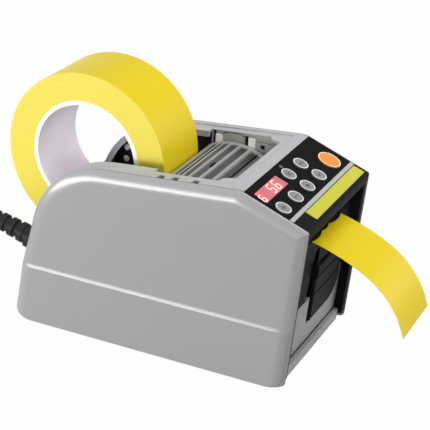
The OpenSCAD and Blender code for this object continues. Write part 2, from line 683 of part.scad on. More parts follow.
// Boards
module board(x, y0, y1) block([-x, y0, floor_z + 6], [x, y1, floor_z + 7.6]);
module power_board() color(GREEN) difference() {
  union() {
    board(frame_x - 5.5, 9, 101);
    block([-25, 20, floor_z + 7], [15, 60, floor_z + 33]);
    for (x = [-28, -14, 0]) translate([x, 75, floor_z + 7]) cylinder(r = 6, h = 24);
    block([22, 70, floor_z + 7], [34, 88, floor_z + 22]);
  }
  for (p = posts) translate([p[0], p[1], 0]) cylinder(r = 1.5, h = 100);
}
module control_board() color(GREEN) difference() {
  union() {
    board(frame_x - 5.5, -61, -2);
    block([-12, -40, floor_z + 7], [4, -24, floor_z + 10]);
    for (x = [14, 24]) translate([x, -40, floor_z + 7]) cylinder(r = 4, h = 12);
    block([-28, -58, floor_z + 7], [-8, -51, floor_z + 15]);
  }
  for (p = control_posts) translate([p[0], p[1], 0]) cylinder(r = 1.5, h = 100);
}
module board_screws() color(STEEL) for (p = concat(posts, control_posts)) translate([p[0], p[1], 0]) {
  translate([0, 0, floor_z + 7.6]) cylinder(r = 2.6, h = 1.8);
  translate([0, 0, floor_z + 2]) cylinder(r = 1.2, h = 6);
}

// Tape
module tape_core() color(WHITE) difference() {
  rod(-half_tape, half_tape, roll_at, core_r + core_t - 0.02, $fn = 96);
  rod(-60, 60, roll_at, core_r, $fn = 96);
}
module tape_roll() color(YELLOW) difference() {
  rod(-half_tape, half_tape, roll_at, roll_r, $fn = 144);
  rod(-60, 60, roll_at, core_r + core_t, $fn = 96);
}
// Middle line of the web, as [-y, z, direction] at its tangent points
function flip(p) = [-p[0], p[1]];
function tangent(p, q, a, b) = let (d = q - p, t = atan2(d[1], d[0]) - asin((a - b) / norm(d)),
  n = [-sin(t), cos(t)])
  [p + a * n, q + b * n, t];
tan1 = tangent(flip(roll_at), flip(guide_rear), -roll_r - web_off, guide_r + web_off);
tan2 = tangent(flip(guide_rear), flip(guide_front), guide_r + web_off, guide_r + web_off);
tan3 = tangent(flip(guide_front), flip(feed_at), guide_r + web_off, feed_r + web_off);
function bow(c, r, t0, t1, n) = [for (j = [0:n]) let (t = t0 + (t1 - t0) * j / n) [c[0] - r * sin(t),
  c[1] + r * cos(t), t]];
web_lift = flip(feed_at) + (feed_r + web_off) * [sin(exit_slope), cos(exit_slope)];
function exit_z(y) = web_lift[1] - (-y - web_lift[0]) * tan(exit_slope);
web = concat([[tan1[0][0], tan1[0][1], tan1[2]]], bow(flip(guide_rear), guide_r + web_off, tan1[2],
  tan2[2], 8),
  bow(flip(guide_front), guide_r + web_off, tan2[2], tan3[2], 2),
  bow(flip(feed_at), feed_r + web_off, tan3[2], -exit_slope, 3), [[-web_end, exit_z(web_end),
    -exit_slope]]);
// Middle line of the tape length outside: straight, then two bends
bend_at = [-tongue_bend, exit_z(tongue_bend)];
mid_a = bend_at - bend_a_r * [sin(exit_slope), cos(exit_slope)];
tongue_a = [for (j = [0:8]) let (t = exit_slope + 17 * j / 8) concat(mid_a + bend_a_r * [sin(t), cos(t)],
  -t)];
mid_b = [tongue_a[8][0], tongue_a[8][1]] - bend_b_r * [sin(exit_slope + 17), cos(exit_slope + 17)];
tongue_b = [for (j = [1:15]) let (t = exit_slope + 17 + 46 * j / 15) concat(mid_b + bend_b_r * [sin(t),
  cos(t)], -t)];
tongue = concat([[-tongue_start, exit_z(tongue_start), -exit_slope]], tongue_a, tongue_b);
module strip(path) across(-half_tape, half_tape) polygon([
  for (p = path) [-p[0] + sin(p[2]) * tape_t / 2, p[1] + cos(p[2]) * tape_t / 2],
  for (i = [len(path) - 1:-1:0]) let (p = path[i]) [-p[0] - sin(p[2]) * tape_t / 2,
    p[1] - cos(p[2]) * tape_t / 2]]);
module tape_web() color(YELLOW) strip(web);
module tape_tongue() color(YELLOW) strip(tongue);

// Mains lead
rear_dir = unit(at2(S, 2) - at2(S, 1));
boot_z = 61;
boot_at = [-frame_x, S[1][0] + rear_dir[0] / rear_dir[1] * (boot_z - S[1][1]), boot_z];
boot_dir = [rear_dir[1], -rear_dir[0]];
boot_len = 39;
module on_boot() translate(boot_at) rotate([-atan2(boot_dir[0], boot_dir[1]), 0, 0]) children();
module cord_boot() color(BLACK) on_boot() difference() {
  rotate_extrude() polygon([[0, -6], [7, -6], [7, -3.2], [5, -3.2], [5, 0], [8.5, 0], [8.5, 4], [6.6, 4],
    [6.6, 6.5], [7.2, 7], [7.2, 11], [5.4, 11.5], [5.4, 14.5], [6.9, 15], [6.9, 19], [5.2, 19.5], [5.2,
      22.5],
    [6.5, 23], [6.5, 27], [5, 27.5], [5, 30.5], [6, 31], [6, 35], [4.8, 35.5], [4.6, boot_len], [0,
      boot_len]]);
  translate([0, 0, boot_len - 8.1]) cylinder(r = cord_r + 0.02, h = 10);
}
// Middle line of the lead: out of the boot, two bends, along the table to the coil
coil_z = cord_r + 1.1;
boot_up = atan2(boot_dir[1], boot_dir[0]);
lead_from = [boot_at[1], boot_at[2]] + (boot_len - 8) * boot_dir;
lead_bow = [boot_at[1], boot_at[2]] + (boot_len + 7) * boot_dir;
lead_drop = acos(((coil_z - lead_bow[1]) / lead_bend + 1 + cos(boot_up)) / 2);
mid_1 = lead_bow + lead_bend * [sin(boot_up), -cos(boot_up)];
lead_1 = [for (j = [0:7]) let (t = boot_up - (boot_up + lead_drop) * j / 7) mid_1 + lead_bend * [-sin(t),
  cos(t)]];
mid_2 = lead_1[7] + lead_bend * [sin(lead_drop), cos(lead_drop)];
lead_2 = [for (j = [1:6]) let (t = lead_drop * (1 - j / 6)) mid_2 - lead_bend * [sin(t), cos(t)]];
coil_y = lead_2[5][0] + 34;
lead = [for (p = concat([lead_from], lead_1, lead_2, [[coil_y - 14, coil_z], [coil_y - 2 * cord_r,
  coil_z]])) [boot_at[0], p[0], p[1]]];
// Coil: in on the lower layer, up in the half turn where it reverses, out on the upper layer
coil_turns = 2.5;
coil_out = coil_r + coil_turns * coil_pitch;
coil_mid = [boot_at[0] + coil_out, coil_y];
function coil_at(t) = let (r = t < coil_turns ? coil_out - coil_pitch * t : t < coil_turns + 0.5 ?
    coil_r - 1.15 * sin(360 * (t - coil_turns)) : coil_r + coil_pitch * (t - coil_turns - 0.5),
      up = min(max((t - coil_turns) / 0.5, 0), 1),
    z = coil_z + coil_pitch * (1 - cos(180 * up)) / 2)
  [coil_mid[0] - r * cos(360 * t), coil_mid[1] + r * sin(360 * t), z];
coil_end = 2 * coil_turns + 0.5;
coil = concat([coil_at(0) - [0, 2 * cord_r, 0]], [for (i = [0:coil_end * 24]) coil_at(i / 24)],
  [coil_at(coil_end) + [0, -38, 0]]);
plug_at = coil[len(coil) - 1];
// Least gap of the coil to itself, between points at least half a turn apart
coil_gap = min([for (i = [0:len(coil) - 13],
  j = [i + 12:len(coil) - 1]) norm(coil[i] - coil[j])]) - 2 * cord_r;
echo(coil_gap = coil_gap);
// Tube along a path; ref is never along the path
module tube(path, r, n, ref) {
  m = len(path);
  dir = [for (i = [0:m - 1]) unit(path[min(i + 1, m - 1)] - path[max(i - 1, 0)])];
  ring = [for (i = [0:m - 1]) let (a = unit(cross(dir[i], ref)), b = cross(a, dir[i]))
    each [for (k = [0:n - 1]) path[i] + r * (cos(360 * k / n + 180 / n) * a + sin(360 * k / n + 180 / n) *
      b)]];
  last = (m - 1) * n;
  polyhedron(ring, concat([for (k = [1:n - 2]) [0, k, k + 1]], [for (k = [1:n - 2]) [last, last + k + 1,
    last + k]],
    [for (i = [0:m - 2], k = [0:n - 1]) let (a = i * n, b = (k + 1) % n) each [[a + k, a + n + k,
      a + n + b], [a + k, a + n + b, a + b]]]),
    convexity = 10);
}
module cord_lead() color(BLACK) tube(lead, cord_r, 10, [1, 0, 0]);
module cord_coil() color(BLACK) tube(coil, cord_r, 6, [0, 0, 1]);
module coil_tie() color(BLACK) translate([coil_mid[0] - 3, coil_mid[1], 0]) difference() {
  translate([0, coil_r - 3.4, 0]) cube([6, coil_out - coil_r + 5.8, 2 * cord_r + coil_pitch + 3]);
  translate([-1, coil_r - 2.4, 0.9]) cube([8, coil_out - coil_r + 3.8, 2 * cord_r + coil_pitch + 1.2]);
}
module plug_body() color(BLACK) translate(plug_at) {
  rotate([90, 0, 0]) rotate_extrude() polygon([[0, 0], [4.6, 0], [5.4, 12], [0, 12]]);
  difference() {
    hull() for (x = [-8.5, 8.5], z = [-plug_at[2] + 4, 8]) translate([x, -12, z]) rotate([90, 0,
      0]) cylinder(r = 4, h = 28, $fn = 32);
    for (x = [-6.35, 6.35]) block([x - 0.75, -60, 1.8], [x + 0.75, -34, 8.2]);
    translate([0, -34, -6.9]) rotate([90, 0, 0]) cylinder(r = 2.4, h = 20);
  }
}
module plug_pins() color([0.8, 0.68, 0.35]) translate(plug_at) {
  for (x = [-6.35, 6.35]) block([x - 0.75, -57, 1.8], [x + 0.75, -34, 8.2]);
  translate([0, -34, -6.9]) rotate([90, 0, 0]) cylinder(r = 2.4, h = 26);
}

base_tray();
rubber_feet();
side_cover_left();
side_cover_right();
top_case();
rear_panel();
frame_plate_left();
frame_plate_right();
cover_screws();
front_cover();
label_strip();
front_panel();
front_lower_panel();
door_pin();
cutter_door();
keypad_panel();
keypad_board();
display_window();
start_button();
button(0);  // up_button
button(1);  // function_button
button(2);  // down_button
button(3);  // set_button
button(4);  // minus_button
button(5);  // plus_button
hood();
bearing_blocks();
guide_roller_rear();
guide_roller_front();
support_roller_front();
support_roller_rear();
feed_shaft();
feed_sleeve();
feed_gear();
pinch_shaft();
pinch_sleeve();
motor_pinion();
feed_motor();
fixed_blade();
moving_blade();
blade_carrier();
cutter_rods();
cutter_bridges();
cutter_cam();
cutter_motor();
well_tray();
control_board();
power_board();
board_screws();
tape_core();
tape_roll();
tape_web();
tape_tongue();
cord_boot();
cord_lead();
cord_coil();
coil_tie();
plug_body();
plug_pins();
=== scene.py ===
"""Electric tape dispenser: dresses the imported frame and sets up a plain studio."""
import math
import random

import bmesh
import bpy
from mathutils import Matrix, Vector


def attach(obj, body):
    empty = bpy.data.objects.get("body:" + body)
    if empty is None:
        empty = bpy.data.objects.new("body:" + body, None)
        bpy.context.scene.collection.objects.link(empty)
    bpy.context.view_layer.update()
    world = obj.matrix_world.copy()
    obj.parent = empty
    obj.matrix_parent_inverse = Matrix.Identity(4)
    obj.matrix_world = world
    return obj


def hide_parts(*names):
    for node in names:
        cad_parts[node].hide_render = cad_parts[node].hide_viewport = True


bl_info = {
    "name": "Electric tape dispenser",
    "version": (1, 0, 0),
    "blender": (4, 5, 0),
    "location": "View3D > Sidebar > Dispenser",
    "description": "Builds the looks of an electric tape dispenser around its packed frame",
    "category": "Object",
}

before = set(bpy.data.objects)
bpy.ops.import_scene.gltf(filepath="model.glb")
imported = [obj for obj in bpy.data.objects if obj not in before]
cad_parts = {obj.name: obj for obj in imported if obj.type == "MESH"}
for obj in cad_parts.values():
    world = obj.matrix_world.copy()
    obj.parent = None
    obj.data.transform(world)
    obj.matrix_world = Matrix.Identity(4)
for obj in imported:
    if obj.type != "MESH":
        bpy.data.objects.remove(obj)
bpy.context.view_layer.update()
# Lengths below are in mm unless a comment says otherwise
MM = 0.001


# Settings

def linear(hex_colour):
    """sRGB hex to linear red, green, blue."""
    parts = [int(hex_colour[i:i + 2], 16) / 255 for i in (1, 3, 5)]
    return tuple(c / 12.92 if c <= 0.04045 else ((c + 0.055) / 1.055) ** 2.4 for c in parts)


def colour(label, hex_colour, about):
    """A colour that the user can change."""
    return bpy.props.FloatVectorProperty(name=label, description=about, subtype="COLOR", size=3,
                                         min=0.0, max=1.0, default=linear(hex_colour))


def length(label, millimetres, about):
    """A size that the user can change."""
    return bpy.props.FloatProperty(name=label, description=about, subtype="DISTANCE", unit="LENGTH",
                                   min=0.0, default=millimetres * MM)


class DispenserColours(bpy.types.PropertyGroup):
    """Colours of the finishes"""

    cover: colour("Covers", "#939394", "Grey of the two side covers")
    case: colour("Case", "#a8a9ac", "Grey of the case and rear panel")
    black: colour("Black plastic", "#1d1d1e", "Front cover, cheeks, front panel and door")
    hood: colour("Hood", "#9a9a9a", "Ribs of the hood")
    # the troughs' darker grey is painted shade, not a colour of the hood
    trough: colour("Hood troughs", "#303030", "Troughs between the ribs")
    film: colour("Keypad film", "#151516", "Film that covers the keypad")
    key: colour("Keys", "#7c7c7c", "Six small keys")
    start: colour("Start key", "#e58a1c", "Large key")
    mark: colour("Key marks", "#2c2c2c", "Signs on the keys")
    label: colour("Strip", "#c0bc2a", "Strip on the front cover")
    tape: colour("Tape", "#dcc315", "Tape film, face")
    rim: colour("Tape edges", "#dfce48", "Wound edges of the tape")
    core: colour("Core", "#efece4", "Cut edge of the paper core")
    glow: colour("Display", "#ff3038", "Lit display")


class DispenserSizes(bpy.types.PropertyGroup):
    """Sizes of what is added to the frame"""

    print_t: length("Print thickness", 0.06, "Thickness of marks on the keys and display")
    ring_w: length("Key ring", 0.75, "Width of the light ring round a key")
    winding: length("Winding step", 0.55, "Spacing of the rings that show on the side of the roll")
    cord: length("Lead diameter", 7.0, "Diameter of the mains lead")


# Finishes

# sockets of a Mix node that is set to colours
MIX_A, MIX_B, MIX_OUT = 6, 7, 2
# part of a noise's range that is used, and how strongly its bumps show
NOISE_LOW, NOISE_HIGH = 0.3, 0.7
BUMP_STRENGTH = 0.6
# frame nodes are shaded smooth where their faces bend less than this, in degrees; weld in metres
CORNER_ANGLE = 28
WELD = 2e-6


def add(tree, kind, inputs=None, **options):
    """Adds one node with its options, constants and links."""
    made = tree.nodes.new(kind)
    for name, value in options.items():
        setattr(made, name, value)
    for socket, value in (inputs or {}).items():
        if isinstance(value, bpy.types.NodeSocket):
            tree.links.new(value, made.inputs[socket])
        else:
            made.inputs[socket].default_value = value
    return made


def rgba(rgb, gain=1.0):
    """A linear colour with its alpha, made lighter or darker by gain."""
    return tuple(min(c * gain, 1.0) for c in rgb) + (1.0,)


def finish(name, rgb, rough, grain=1.0, depth=0.0, shade=0.05, patch=18.0, edge=0.0, metallic=0.0,
           ior=None, spread=0.06, pattern=None, stretch=(1, 1, 1), shine=0.5):
    """A procedural finish.

    rgb linear colour; rough mean roughness and spread its variation; grain mm between bumps, depth mm
    of them and stretch their scale along x, y and z; shade share by which the colour drifts over
    patches of patch mm; edge mm of rounding that shows; shine specular level; pattern(tree, place,
    colour) may return a changed colour.
    """
    if name in bpy.data.materials:
        return bpy.data.materials[name]
    made = bpy.data.materials.new(name)
    made.use_nodes = True
    tree = made.node_tree
    shader = tree.nodes["Principled BSDF"]
    place = add(tree, "ShaderNodeTexCoord").outputs["Object"]
    drift = add(tree, "ShaderNodeTexNoise", {"Vector": place, "Scale": 1 / (patch * MM), "Detail": 4.0})
    tint = add(tree, "ShaderNodeMix", {"Factor": drift.outputs["Fac"], MIX_A: rgba(rgb, 1 - shade),
                                       MIX_B: rgba(rgb, 1 + shade)}, data_type="RGBA").outputs[MIX_OUT]
    if pattern:
        tint = pattern(tree, place, tint)
    tree.links.new(tint, shader.inputs["Base Color"])
    shader.inputs["Metallic"].default_value = metallic
    shader.inputs["Specular IOR Level"].default_value = shine
    if ior:
        shader.inputs["IOR"].default_value = ior
    spots = add(tree, "ShaderNodeMapping", {"Vector": place, "Scale": stretch})
    fine = add(tree, "ShaderNodeTexNoise", {"Vector": spots.outputs["Vector"], "Detail": 3.0,
                                            "Scale": 1 / (grain * MM)})
    varied = add(tree, "ShaderNodeMapRange", {"Value": fine.outputs["Fac"], "From Min": NOISE_LOW,
                                              "From Max": NOISE_HIGH, "To Min": rough - spread,
                                              "To Max": rough + spread})
    tree.links.new(varied.outputs["Result"], shader.inputs["Roughness"])
    normal = None
    if edge:
        normal = add(tree, "ShaderNodeBevel", {"Radius": edge * MM}, samples=4).outputs["Normal"]
    if depth:
        bump = add(tree, "ShaderNodeBump", {"Height": fine.outputs["Fac"], "Distance": depth * MM,
                                            "Strength": BUMP_STRENGTH})
        if normal:
            tree.links.new(normal, bump.inputs["Normal"])
        normal = bump.outputs["Normal"]
    if normal:
        tree.links.new(normal, shader.inputs["Normal"])
    return made


def from_axis(tree, place, middle):
    """Distance of place from the line along x through middle, both in metres."""
    apart = add(tree, "ShaderNodeVectorMath", {0: place, 1: middle}, operation="SUBTRACT")
    flat = add(tree, "ShaderNodeVectorMath", {0: apart.outputs[0], 1: (0, 1, 1)}, operation="MULTIPLY")
    return add(tree, "ShaderNodeVectorMath", {0: flat.outputs[0]}, operation="LENGTH").outputs["Value"]


def smooth_group():
    """Geometry nodes that shade a frame node smooth except at its corners."""
    name = "Smooth up to corners"
    if name in bpy.data.node_groups:
        return bpy.data.node_groups[name]
    group = bpy.data.node_groups.new(name, "GeometryNodeTree")
    for way in ("INPUT", "OUTPUT"):
        group.interface.new_socket("Geometry", in_out=way, socket_type="NodeSocketGeometry")
    start = add(group, "NodeGroupInput")
    joined = add(group, "GeometryNodeMergeByDistance", {"Geometry": start.outputs[0], "Distance": WELD})
    bend = add(group, "GeometryNodeInputMeshEdgeAngle")
    sharp = add(group, "FunctionNodeCompare",
                {0: bend.outputs["Unsigned Angle"], 1: math.radians(CORNER_ANGLE)},
                data_type="FLOAT", operation="GREATER_THAN")
    shaded = add(group, "GeometryNodeSetMeshNormal",
                 {"Mesh": joined.outputs[0], "Remove Custom": True, "Edge Sharpness": sharp.outputs[0]},
                 mode="SHARPNESS")
    add(group, "NodeGroupOutput", {0: shaded.outputs[0]})
    return group


def dress(material, *nodes):
    """Gives frame nodes a finish and smooth shading."""
    for name in nodes:
        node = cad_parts[name]
        node.data.materials.clear()
        node.data.materials.append(material)
        node.modifiers.new("Shading", "NODES").node_group = smooth_group()


# Meshes

def piece(name, mesh, body, *materials, slot=None, replaces=()):
    """Puts a mesh or curve in the scene on a body of the frame."""
    obj = bpy.data.objects.new(name, mesh)
    bpy.context.scene.collection.objects.link(obj)
    for material in materials:
        mesh.materials.append(material)
    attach(obj, body)
    if replaces:
        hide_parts(*replaces)
    return obj


def to_mesh(bm, name, smooth_angle=None):
    """Turns a bmesh into a mesh; corners over smooth_angle degrees stay sharp."""
    mesh = bpy.data.meshes.new(name)
    bmesh.ops.recalc_face_normals(bm, faces=bm.faces)
    if smooth_angle is not None:
        limit = math.radians(smooth_angle)
        for face in bm.faces:
            face.smooth = True
        for edge in bm.edges:
            edge.smooth = not (len(edge.link_faces) == 2 and edge.calc_face_angle(0) > limit)
    bm.to_mesh(mesh)
    bm.free()
    return mesh


def circle(x, y, radius, steps):
    """Points of a circle about x, y."""
    turns = [math.tau * i / steps for i in range(steps)]
    return [(x + radius * math.cos(turn), y + radius * math.sin(turn)) for turn in turns]


def strip(bm, low, high):
    """Joins two open rows of points."""
    for i in range(len(low) - 1):
        bm.faces.new((low[i], low[i + 1], high[i + 1], high[i]))


def loft(bm, rings):
    """Joins closed rings of equal length."""
    for low, high in zip(rings, rings[1:]):
        for i in range(len(low)):
            j = (i + 1) % len(low)
            bm.faces.new((low[i], low[j], high[j], high[i]))


def prism(bm, points, place, low, high):
    """Adds a flat shape in x, y of the frame place, drawn out from low to high along its z."""
    rows = [[bm.verts.new(place @ Vector((x, y, z)) * MM) for x, y in points] for z in (low, high)]
    bm.faces.new(rows[0][::-1])
    bm.faces.new(rows[1])
    loft(bm, rows)


def ring_prism(bm, centre, inner, outer, place, low, high, steps):
    """Adds a flat ring in the frame place, from low to high along its z."""
    rows = []
    for radius, z in ((inner, low), (outer, low), (outer, high), (inner, high)):
        rows.append([bm.verts.new(place @ Vector((x, y, z)) * MM)
                     for x, y in circle(*centre, radius, steps)])
    loft(bm, rows + rows[:1])


def lathe(bm, profile, middle, steps):
    """Turns a closed profile of (x, radius) about the x axis through middle."""
    rows = []
    for x, radius in profile:
        rows.append([bm.verts.new(Vector((x, y, z)) * MM)
                     for y, z in circle(middle.y, middle.z, radius, steps)])
    loft(bm, rows + rows[:1])


def pin(bm, at, radius, long):
    """Adds a round pin along x, in mm."""
    bmesh.ops.create_cone(bm, cap_ends=True, segments=24, radius1=radius, radius2=radius, depth=long,
                          matrix=Matrix.Translation(at) @ Matrix.Rotation(math.pi / 2, 4, "Y"))


# Outline of the body, as in the frame's source

FOOT = 2.5
# corners of the side outline, as y and z
LOWER_BACK, TOP_BACK = (121.4, 45.0), (99.7, 125.7)
DECK_TOP, NOSE = (-42.5, 136.6), (-90.5, 118.1)
# all of them, drawn on below the table: y, z, radius, steps of the rounding
CORNERS = [(131.84, -17.5, 0, 1), (*LOWER_BACK, 0, 1), (*TOP_BACK, 60, 30), (*DECK_TOP, 18, 10),
           (*NOSE, 1.6, 6), (-78.77, -17.5, 0, 1)]
# radius and steps where the outline meets the floor of a cover
TAIL_ROUND, NOSE_ROUND = (5, 8), (4, 8)
# the deck falls 18.5 in 48 towards the nose, and the keypad starts a little below its top
DECK_TILT = math.atan(18.5 / 48)
KEYPAD_IN = 2.2
KEYPAD = Vector((0, DECK_TOP[0] - KEYPAD_IN * math.cos(DECK_TILT),
                 DECK_TOP[1] - KEYPAD_IN * math.sin(DECK_TILT)))
ON_DECK = Matrix.Translation(KEYPAD) @ Matrix.Rotation(DECK_TILT, 4, "X")
# the front wall leans out by 10 in 115.6 as it rises
FRONT_Y = -73.0
LEAN = math.atan(10 / 115.6)
ON_FRONT = Matrix.Translation((0, FRONT_Y, FOOT)) @ Matrix.Rotation(LEAN, 4, "X")


def corner(corners, i):
    """A corner, the ways back and on from it, the way inward, and the sine of half its angle."""
    here, back, on = (Vector(corners[k % len(corners)][:2]) for k in (i, i - 1, i + 1))
    back = (back - here).normalized()
    on = (on - here).normalized()
    half = (back + on).normalized()
    return here, back, on, half, abs(back.x * half.y - back.y * half.x)


def moved_in(corners, gap):
    """Corners of the outline moved inward by gap."""
    out = []
    for i, (_, _, radius, steps) in enumerate(corners):
        here, _, _, half, sine = corner(corners, i)
        moved = here + half * (gap / sine)
        out.append((moved.x, moved.y, max(radius - gap, 0.0), steps))
    return out


def side_ring(gap, floor):
    """Points of the side outline moved in by gap and ended at the height floor."""
    corners = moved_in(CORNERS, gap)

    def on_floor(a, b):
        share = (floor - a[1]) / (b[1] - a[1])
        return a[0] + (b[0] - a[0]) * share
    corners[0] = (on_floor(corners[0], corners[1]), floor, *TAIL_ROUND)
    corners[5] = (on_floor(corners[5], corners[4]), floor, *NOSE_ROUND)
    points = []
    for i, (_, _, radius, steps) in enumerate(corners):
        here, back, on, half, sine = corner(corners, i)
        if not radius and steps == 1:
            points.append(here)
            continue
        middle = here + half * radius / sine
        run = radius * math.sqrt(1 - sine * sine) / sine
        first = here + back * run - middle
        last = here + on * run - middle
        start = math.atan2(first.y, first.x)
        sweep = math.atan2(last.y, last.x) - start
        sweep = (sweep + math.pi) % math.tau - math.pi
        for j in range(steps + 1):
            angle = start + sweep * j / steps
            points.append(middle + radius * Vector((math.cos(angle), math.sin(angle))))
    return points


# Stage

# place in metres, and a matrix whose columns are the camera's axes
CAMERA_AT = (-0.7910, -0.3643, 0.4967)
CAMERA_AXES = ((0.4324, 0.3706, -0.8220), (-0.9011, 0.2120, -0.3783), (0.0341, 0.9043, 0.4256))
FOCAL, SENSOR = 117.2, 36.0
CLIP_NEAR, CLIP_FAR = 0.05, 20.0
FLOOR_HALF = 6.0
# share of white in the floor where the background shows; the rest keeps the shadow
FLOOR_WHITE = 0.985
# strength of the world as a light, and as a background
WORLD_LIGHT, WORLD_WHITE = 0.16, 1.0
# name, place in metres, width, height, watts; the strip makes the light line along the covers' edges
LAMPS = (("Top soft box", (0.05, -0.3, 1.45), 1.3, 1.3, 16.0),
         ("Left strip", (-1.2, 1.0, 0.21), 1.6, 0.38, 27.0),
         ("Front right soft box", (1.0, -1.1, 0.6), 0.8, 0.8, 9.0),
         ("Front left fill", (-0.9, -0.9, 0.8), 0.7, 0.7, 5.0))
LAMP_AIM = (0, 0, 0.1)


def background_rays(tree):
    """1 for the rays that show the background: the camera's own, through glass and off gloss."""
    path = add(tree, "ShaderNodeLightPath")
    seen = path.outputs["Is Camera Ray"]
    for way in ("Is Transmission Ray", "Is Glossy Ray"):
        seen = add(tree, "ShaderNodeMath", {0: seen, 1: path.outputs[way]}, operation="MAXIMUM").outputs[0]
    return seen


class DISPENSER_OT_stage(bpy.types.Operator):
    """Camera at the photograph's angle, pale floor, soft lights"""

    bl_idname = "dispenser.stage"
    bl_label = "Stage"

    def execute(self, context):
        scene = context.scene
        scene.view_settings.view_transform = "Standard"
        lens = bpy.data.cameras.new("Camera")
        lens.sensor_width = SENSOR
        lens.lens = FOCAL
        lens.clip_start = CLIP_NEAR
        lens.clip_end = CLIP_FAR
        camera = bpy.data.objects.new("Camera", lens)
        camera.matrix_world = Matrix.Translation(CAMERA_AT) @ Matrix(CAMERA_AXES).to_4x4()
        scene.collection.objects.link(camera)
        scene.camera = camera

        white = rgba(linear("#ffffff"))
        bm = bmesh.new()
        bmesh.ops.create_grid(bm, x_segments=1, y_segments=1, size=FLOOR_HALF)
        floor = bpy.data.objects.new("Floor", to_mesh(bm, "Floor"))
        scene.collection.objects.link(floor)
        # Seamless white paper: matt, and seen by the camera as nearly white with a light shadow left
        paper = bpy.data.materials.new("Seamless paper, white")
        paper.use_nodes = True
        tree = paper.node_tree
        tree.nodes.clear()
        matt = add(tree, "ShaderNodeBsdfDiffuse", {"Color": rgba(linear("#a0a0a0"))})
        shown = add(tree, "ShaderNodeEmission", {"Color": white, "Strength": 1.0})
        part = add(tree, "ShaderNodeMath", {0: background_rays(tree), 1: FLOOR_WHITE}, operation="MULTIPLY")
        both = add(tree, "ShaderNodeMixShader", {0: part.outputs[0], 1: matt.outputs[0],
                                                 2: shown.outputs[0]})
        add(tree, "ShaderNodeOutputMaterial", {"Surface": both.outputs[0]})
        floor.data.materials.append(paper)

        world = bpy.data.worlds.new("Studio")
        scene.world = world
        world.use_nodes = True
        tree = world.node_tree
        tree.nodes.clear()
        level = add(tree, "ShaderNodeMapRange", {"Value": background_rays(tree), "To Min": WORLD_LIGHT,
                                                 "To Max": WORLD_WHITE})
        back = add(tree, "ShaderNodeBackground", {"Color": white, "Strength": level.outputs[0]})
        add(tree, "ShaderNodeOutputWorld", {"Surface": back.outputs[0]})

        for name, at, wide, tall, power in LAMPS:
            lamp = bpy.data.lights.new(name, "AREA")
            lamp.shape = "RECTANGLE"
            lamp.size = wide
            lamp.size_y = tall
            lamp.energy = power
            obj = bpy.data.objects.new(name, lamp)
            obj.location = at
            obj.rotation_euler = (Vector(LAMP_AIM) - Vector(at)).to_track_quat("-Z", "Y").to_euler()
            scene.collection.objects.link(obj)
        return {"FINISHED"}


# Mains lead

CORD_R = 3.5
BOOT_Z, BOOT_LEN = 61.0, 39.0
# the lead starts inside the boot, runs straight a little past its end, then bends down to the table
LEAD_FROM, LEAD_STRAIGHT = (-8, -2), 7
LEAD_X, LEAD_BEND = -46.5, 55.0
DOWN_STEPS, LAND_STEPS = 21, 16
# coil: inner radius, step between turns, turns in each layer, turns and bow of the climb between layers
COIL_IN, COIL_STEP, COIL_TURNS, COIL_CLIMB, COIL_BOW = 29.0, 7.6, 2.5, 0.5, 1.15
COIL_Z = CORD_R + 1.1
COIL_POINTS = 36
# from where the lead lands to the coil's middle, points on the way there, and points on to the plug
COIL_RUN, COIL_WAY, PLUG_WAY = 34, (21, 14, 7), (12, 25, 38)


def lead_route():
    """Middle line of the lead in mm: out of the boot, down to the table, into the coil and to the plug."""
    rear = Vector((TOP_BACK[0] - LOWER_BACK[0], TOP_BACK[1] - LOWER_BACK[1])).normalized()
    boot = Vector((LOWER_BACK[0] + rear.x / rear.y * (BOOT_Z - LOWER_BACK[1]), BOOT_Z))
    out = Vector((rear.y, -rear.x))
    up = math.atan2(out.y, out.x)
    bow = boot + (BOOT_LEN + LEAD_STRAIGHT) * out
    drop = math.acos(((COIL_Z - bow.y) / LEAD_BEND + 1 + math.cos(up)) / 2)
    flat = [boot + (BOOT_LEN + past) * out for past in LEAD_FROM]
    middle = bow + LEAD_BEND * Vector((math.sin(up), -math.cos(up)))
    for j in range(DOWN_STEPS + 1):
        turn = up - (up + drop) * j / DOWN_STEPS
        flat.append(middle + LEAD_BEND * Vector((-math.sin(turn), math.cos(turn))))
    middle = flat[-1] + LEAD_BEND * Vector((math.sin(drop), math.cos(drop)))
    for j in range(1, LAND_STEPS + 1):
        turn = drop * (1 - j / LAND_STEPS)
        flat.append(middle - LEAD_BEND * Vector((math.sin(turn), math.cos(turn))))
    coil_y = flat[-1].x + COIL_RUN
    flat += [Vector((coil_y - short, COIL_Z)) for short in COIL_WAY]
    route = [Vector((LEAD_X, p.x, p.y)) for p in flat]
    wide = COIL_IN + COIL_TURNS * COIL_STEP
    centre = Vector((LEAD_X + wide, coil_y, 0))
    turns = 2 * COIL_TURNS + COIL_CLIMB
    for i in range(int(turns * COIL_POINTS) + 1):
        t = i / COIL_POINTS
        rise = min(max((t - COIL_TURNS) / COIL_CLIMB, 0), 1)
        if t < COIL_TURNS:
            radius = wide - COIL_STEP * t
        elif rise < 1:
            radius = COIL_IN - COIL_BOW * math.sin(math.pi * rise)
        else:
            radius = COIL_IN + COIL_STEP * (t - COIL_TURNS - COIL_CLIMB)
        route.append(centre + Vector((-radius * math.cos(math.tau * t), radius * math.sin(math.tau * t),
                                      COIL_Z + COIL_STEP * (1 - math.cos(math.pi * rise)) / 2)))
    end = route[-1]
    route += [end + Vector((0, -on, 0)) for on in PLUG_WAY]
    return route


